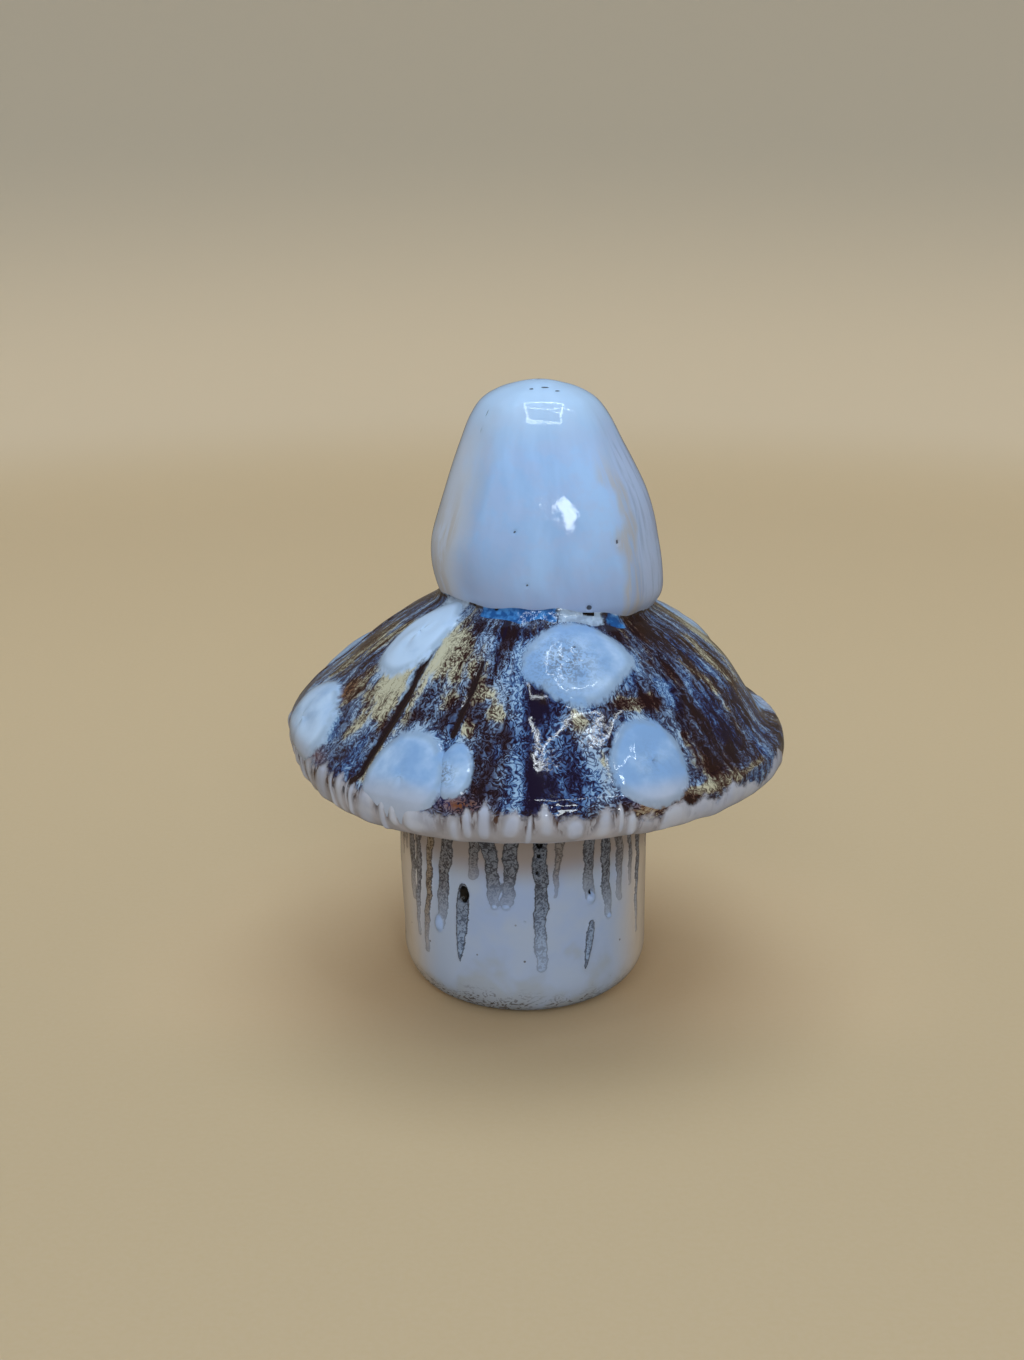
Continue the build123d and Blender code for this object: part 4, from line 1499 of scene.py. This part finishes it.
def stemMaterial():
    # off-white with worm-marked runs inside a dark outline, paler towards their ends, and dirt along the
    # foot; painted light on the warmer sides and partly near the foot, and painted shade under the cap and up
    # the runs
    material, bench, inputs = newMaterial("stemGlaze")
    place = bench.objectMm()
    flow = bench.attribute("flow", "Vector")
    level = bench.attribute("height")
    cloud = bench.noise(place, *stem["cloud"])
    white = bench.tint(cloud, stem["whiteAt"], *stem["white"])
    white = bench.wash(white, level + bench.centre(cloud, stem["lowBy"]), *stem["lowWash"])
    # painted warm side light
    white = bench.blend(bench.attribute("side"), white, stem["side"])
    white = bench.wash(white, level, *stem["shadowWash"])
    run = bench.attribute("run") + bench.swing(flow, *stem["ragged"])
    inside = bench.step(run, *stem["insideAt"]) * bench.attribute("strong")
    worm = bench.noise(flow, *stem["worm"])
    grey = bench.tint(worm, stem["wormAt"], *stem["grey"])
    brown = bench.tint(worm, stem["wormAt"], *stem["brown"])
    deep = bench.tint(worm, stem["deepAt"], *stem["deep"])
    # the deep coat up the runs is partly painted shade under the cap
    fill = bench.blend(bench.attribute("tone"), bench.wash(grey, level, *stem["deepWash"], deep), brown)
    outer, inner = stem["outlineAt"]
    fill = bench.lay(fill, bench.step(run, *outer) * bench.step(run, *inner), *stem["outline"])
    colour = bench.blend(inside, white, fill)
    colour = bench.tint(bench.attribute("bead"), stem["beadPaleAt"], colour, stem["beadPale"])
    colour = bench.tint(bench.attribute("pit"), stem["pitDarkAt"], colour, stem["pitDark"])
    # dirt: short scribbles along the foot, thinning out upwards, and a few specks
    near = bench.step(level + bench.centre(cloud, stem["nearBy"]), *stem["nearAt"])
    scribbles = near * bench.step(bench.noise(place, *stem["scribble"]), *stem["scribbleAt"])
    specks = bench.specks(place, *stem["specks"]) * bench.step(level, *stem["specksAt"])
    colour = bench.lay(colour, bench.calc("MAXIMUM", scribbles, specks), *stem["dirt"])
    peel = bench.group(glazeSkin, {"Vector": place, **stem["peel"]})
    height = peel["Height"] + worm * inside * stem["wormHigh"]
    finishGlaze(bench, inputs, colour, height, peel["Roughness"] + stem["dull"])
    return material


stemBody = makeStem()
wear(stemBody, stemMaterial())
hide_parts("base_slab", "stem_wall", "stem_collar_coil")


# Bare clay for the coil that is shut inside the foot

clay = {
    "grain": (1.6, 4.0, 0.65),
    "colours": ((0.46, 0.40, 0.32), (0.60, 0.54, 0.45)),
    "rough": (0.65, 0.2),     # least roughness, and how much more with the grain
    "high": 0.2,
}


def clayMaterial():
    # a fine grain that shows in the colour, the roughness and the height
    material, bench, inputs = newMaterial("bareClay")
    grain = bench.noise(bench.objectMm(), *clay["grain"])
    least, more = clay["rough"]
    lift = bench.out(bench.node("Bump", {"Height": grain, "Distance": clay["high"] * millimetre}))
    colour = bench.blend(grain, *clay["colours"])
    bench.feed(inputs, {"Base Color": colour, "Roughness": grain * more + least, "Normal": lift})
    return material


wear(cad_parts["base_seam_coil"], clayMaterial())
print("all pieces glazed")


# Stage, in metres: a round sweep of warm paper, soft lamps overhead and in front that the glaze doesn't
# mirror, a window, a loop and thin bars that it does, and a dim cool room

stage = {
    "flat": 0.42,
    "wallRadius": 0.95,
    "wallHeight": 0.75,
    "hole": 0.02,             # reach of the innermost ring of the floor
    "flatRows": 12,
    "bendRows": 40,
    "columns": 96,
    # painted light: the floor is paler behind the object than in front of it
    "paper": (0.50, 0.398, 0.252),    # of the floor in front of the object, and behind it
    "backPaper": (0.61, 0.485, 0.305),
    "backAt": (-0.16, 0.22),
    # painted light: paler, warmer paper beside the foot that lightens the shadow there
    "nearPaper": (0.85, (0.65, 0.495, 0.315)),    # beside the foot, where the shadow is lighter and warmer
    "nearAt": (0.10, 0.03),   # distance from the object, and how far in front of its middle
    "nearFrontAt": (-0.045, -0.012),
    "fibre": (900.0, 2.0, 0.5),
    "fibrePaper": (0.06, (0.8, 0.8, 0.8)),
    # painted light: the wall is painted brighter low down
    "midPaper": (0.67, 0.565, 0.41),  # low on the wall
    "midAt": (0.0, 0.02),
    "farPaper": (0.46, 0.412, 0.325),  # higher up the wall, where less light reaches
    "farAt": (0.02, 0.14),
    "bounce": (0.66, 0.52, 0.38),
    "mirrored": (0.20, 0.16, 0.11),
    "paperRough": 0.9,
    "paperSpecular": 0.15,
    "lampColour": (0.845, 0.935, 1.0),
    "aim": (0.0, 0.0, 0.065),
    # lamps: place, width and height, watts, whether the glaze mirrors it, and roll in degrees
    "lamps": {
        "overheadSoftbox": ((0.02, 0.05, 1.70), (1.30, 1.30), 13.1, False, 0.0),
        "frontSoftbox": ((-0.04, -0.88, 0.46), (0.60, 0.50), 3.8, False, 0.0),
        "frontWindow": ((0.088, -0.60, 0.283), (0.085, 0.125), 0.45, True, 46.0),
    },
    # a small loop of thin lamps over the dome, which mirrors it near its top: middle, width and depth
    "loop": [
        (0.0057, -0.047, 0.0185, 0.0015), (0.0057, -0.0105, 0.0185, 0.0013),
        (-0.003, -0.0288, 0.0012, 0.036), (0.0144, -0.0288, 0.0012, 0.036)],
    "loopHeight": 0.145,
    "loopRoll": 90.0,
    "loopGlow": 36.0,         # watts for each square metre
    # thin overhead bars, which the cap mirrors as a crooked line: middle, length, width and direction in plan
    "bars": [
        (-0.025, -0.410, 0.080, 0.015, -74.0), (0.016, -0.491, 0.103, 0.015, -54.5),
        (0.147, -0.457, 0.252, 0.015, 36.8), (0.373, -0.361, 0.254, 0.015, 9.8),
        (0.532, -0.273, 0.149, 0.015, 63.3), (0.147, -0.66, 0.10, 0.03, 0.0)],
    "barHeight": 1.05,
    "barGlow": 60.0,
    "room": (0.84, 0.92, 1.0),
    "roomLight": 0.33,
    "roomMirror": 0.27,       # how much less of the room the glaze mirrors
}


def makeSweep():
    # floor disc that curves up into a round wall: a quarter ellipse between floor and wall
    bend = np.linspace(0, math.pi / 2, stage["bendRows"])[1:]
    floor = np.linspace(stage["hole"], stage["flat"], stage["flatRows"])
    span = stage["wallRadius"] - stage["flat"]
    reaches = np.concatenate([floor, stage["flat"] + span * np.sin(bend)])
    levels = np.concatenate([0 * floor, stage["wallHeight"] * (1 - np.cos(bend))])
    around, level = ringGrid(stage["columns"], levels)
    inwards = turned(reaches[:, None], around, level)[:, ::-1]
    sweep = makeMesh("paperSweep", inwards / millimetre, ((0, 0, 0), None))
    return sweep


def paperMaterial():
    # warm paper with painted light: paler behind the object and beside its foot, where it lightens the
    # shadow, and brighter low on the wall; dimmer up the wall, as painted shade
    material, bench, inputs = newMaterial("warmPaper")
    place = bench.out(bench.node("TexCoord"), "Object")
    x, y, z = bench.axes(place)
    paper = bench.tint(y, stage["backAt"], stage["paper"], stage["backPaper"])
    away = bench.calc("SQRT", x * x + y * y)
    near = bench.step(away, *stage["nearAt"]) * bench.step(y, *stage["nearFrontAt"])
    paper = bench.lay(paper, near, *stage["nearPaper"])
    paper = bench.lay(paper, bench.noise(place, *stage["fibre"]), *stage["fibrePaper"])
    paper = bench.tint(z, stage["midAt"], paper, stage["midPaper"])
    paper = bench.tint(z, stage["farAt"], paper, stage["farPaper"])
    # the paper's own light on the object, and its mirror image in the glaze, are set apart from its colour
    path = bench.wires(bench.node("LightPath"))
    colour = bench.blend(path["Is Diffuse Ray"], paper, stage["bounce"])
    colour = bench.blend(path["Is Glossy Ray"], colour, stage["mirrored"])
    rough, specular = stage["paperRough"], stage["paperSpecular"]
    bench.feed(inputs, {"Base Color": colour, "Roughness": rough, "Specular IOR Level": specular})
    return material


wear(makeSweep(), paperMaterial())


def areaLight(name, place, size, power, gloss, roll, aim=stage["aim"]):
    # a soft rectangle aimed at the object; without gloss it lights the object but isn't mirrored in the
    # glaze; roll turns it about its own axis, in degrees
    data = bpy.data.lights.new(name, "AREA")
    data.shape = "RECTANGLE"
    data.size, data.size_y = size
    data.energy = power
    data.color = stage["lampColour"]
    lamp = bpy.data.objects.new(name, data)
    bpy.context.scene.collection.objects.link(lamp)
    forward = np.array(aim) - place
    forward = forward / np.linalg.norm(forward)
    heading = Matrix.Rotation(math.atan2(forward[1], forward[0]) - math.pi / 2, 3, "Z")
    pitch = Matrix.Rotation(math.acos(-forward[2]), 3, "X")
    lamp.location = place
    lamp.rotation_euler = (heading @ pitch @ Matrix.Rotation(math.radians(roll), 3, "Z")).to_euler()
    lamp.visible_glossy = gloss
    lamp.visible_camera = False


for name, lamp in stage["lamps"].items():
    areaLight(name, *lamp)
for side, (x, y, wide, deep) in enumerate(stage["loop"]):
    place, power = (x, y, stage["loopHeight"]), stage["loopGlow"] * wide * deep
    areaLight("crownLoop%d" % side, place, (wide, deep), power, True, stage["loopRoll"], (x, y, 0.0))
for count, (x, y, long, wide, direction) in enumerate(stage["bars"]):
    place, power = (x, y, stage["barHeight"]), stage["barGlow"] * long * wide
    heading = math.degrees(math.atan2(-y, -x)) - 90
    areaLight("overheadBar%d" % count, place, (long, wide), power, True, direction - heading)

world = bpy.data.worlds.new("dimRoom")
bpy.context.scene.world = world
world.use_nodes = True
bench = Bench(world.node_tree)
# the dim room lights the object, and is dimmer still in the glaze's mirror
glossy = bench.wires(bench.node("LightPath"))["Is Glossy Ray"]
roomLight = stage["roomLight"] - glossy * stage["roomMirror"]
bench.feed(world.node_tree.nodes["Background"].inputs, {"Color": stage["room"], "Strength": roomLight})
print("stage and lamps ready")


# Camera: in front, a little above, looking down on the cap

camera = {
    "place": (-0.00238, -0.36185, 0.17773),
    "pitch": 17.765,
    "lens": 52.07,
    "sensor": 36.0,
    "nearest": 0.01,
}
cameraData = bpy.data.cameras.new("photoCamera")
cameraData.lens = camera["lens"]
cameraData.sensor_width = camera["sensor"]
cameraData.clip_start = camera["nearest"]
photoCamera = bpy.data.objects.new("photoCamera", cameraData)
bpy.context.scene.collection.objects.link(photoCamera)
photoCamera.location = camera["place"]
photoCamera.rotation_euler = (math.radians(90 - camera["pitch"]), 0.0, 0.0)
bpy.context.scene.camera = photoCamera

bpy.context.scene.view_settings.view_transform = "Standard"
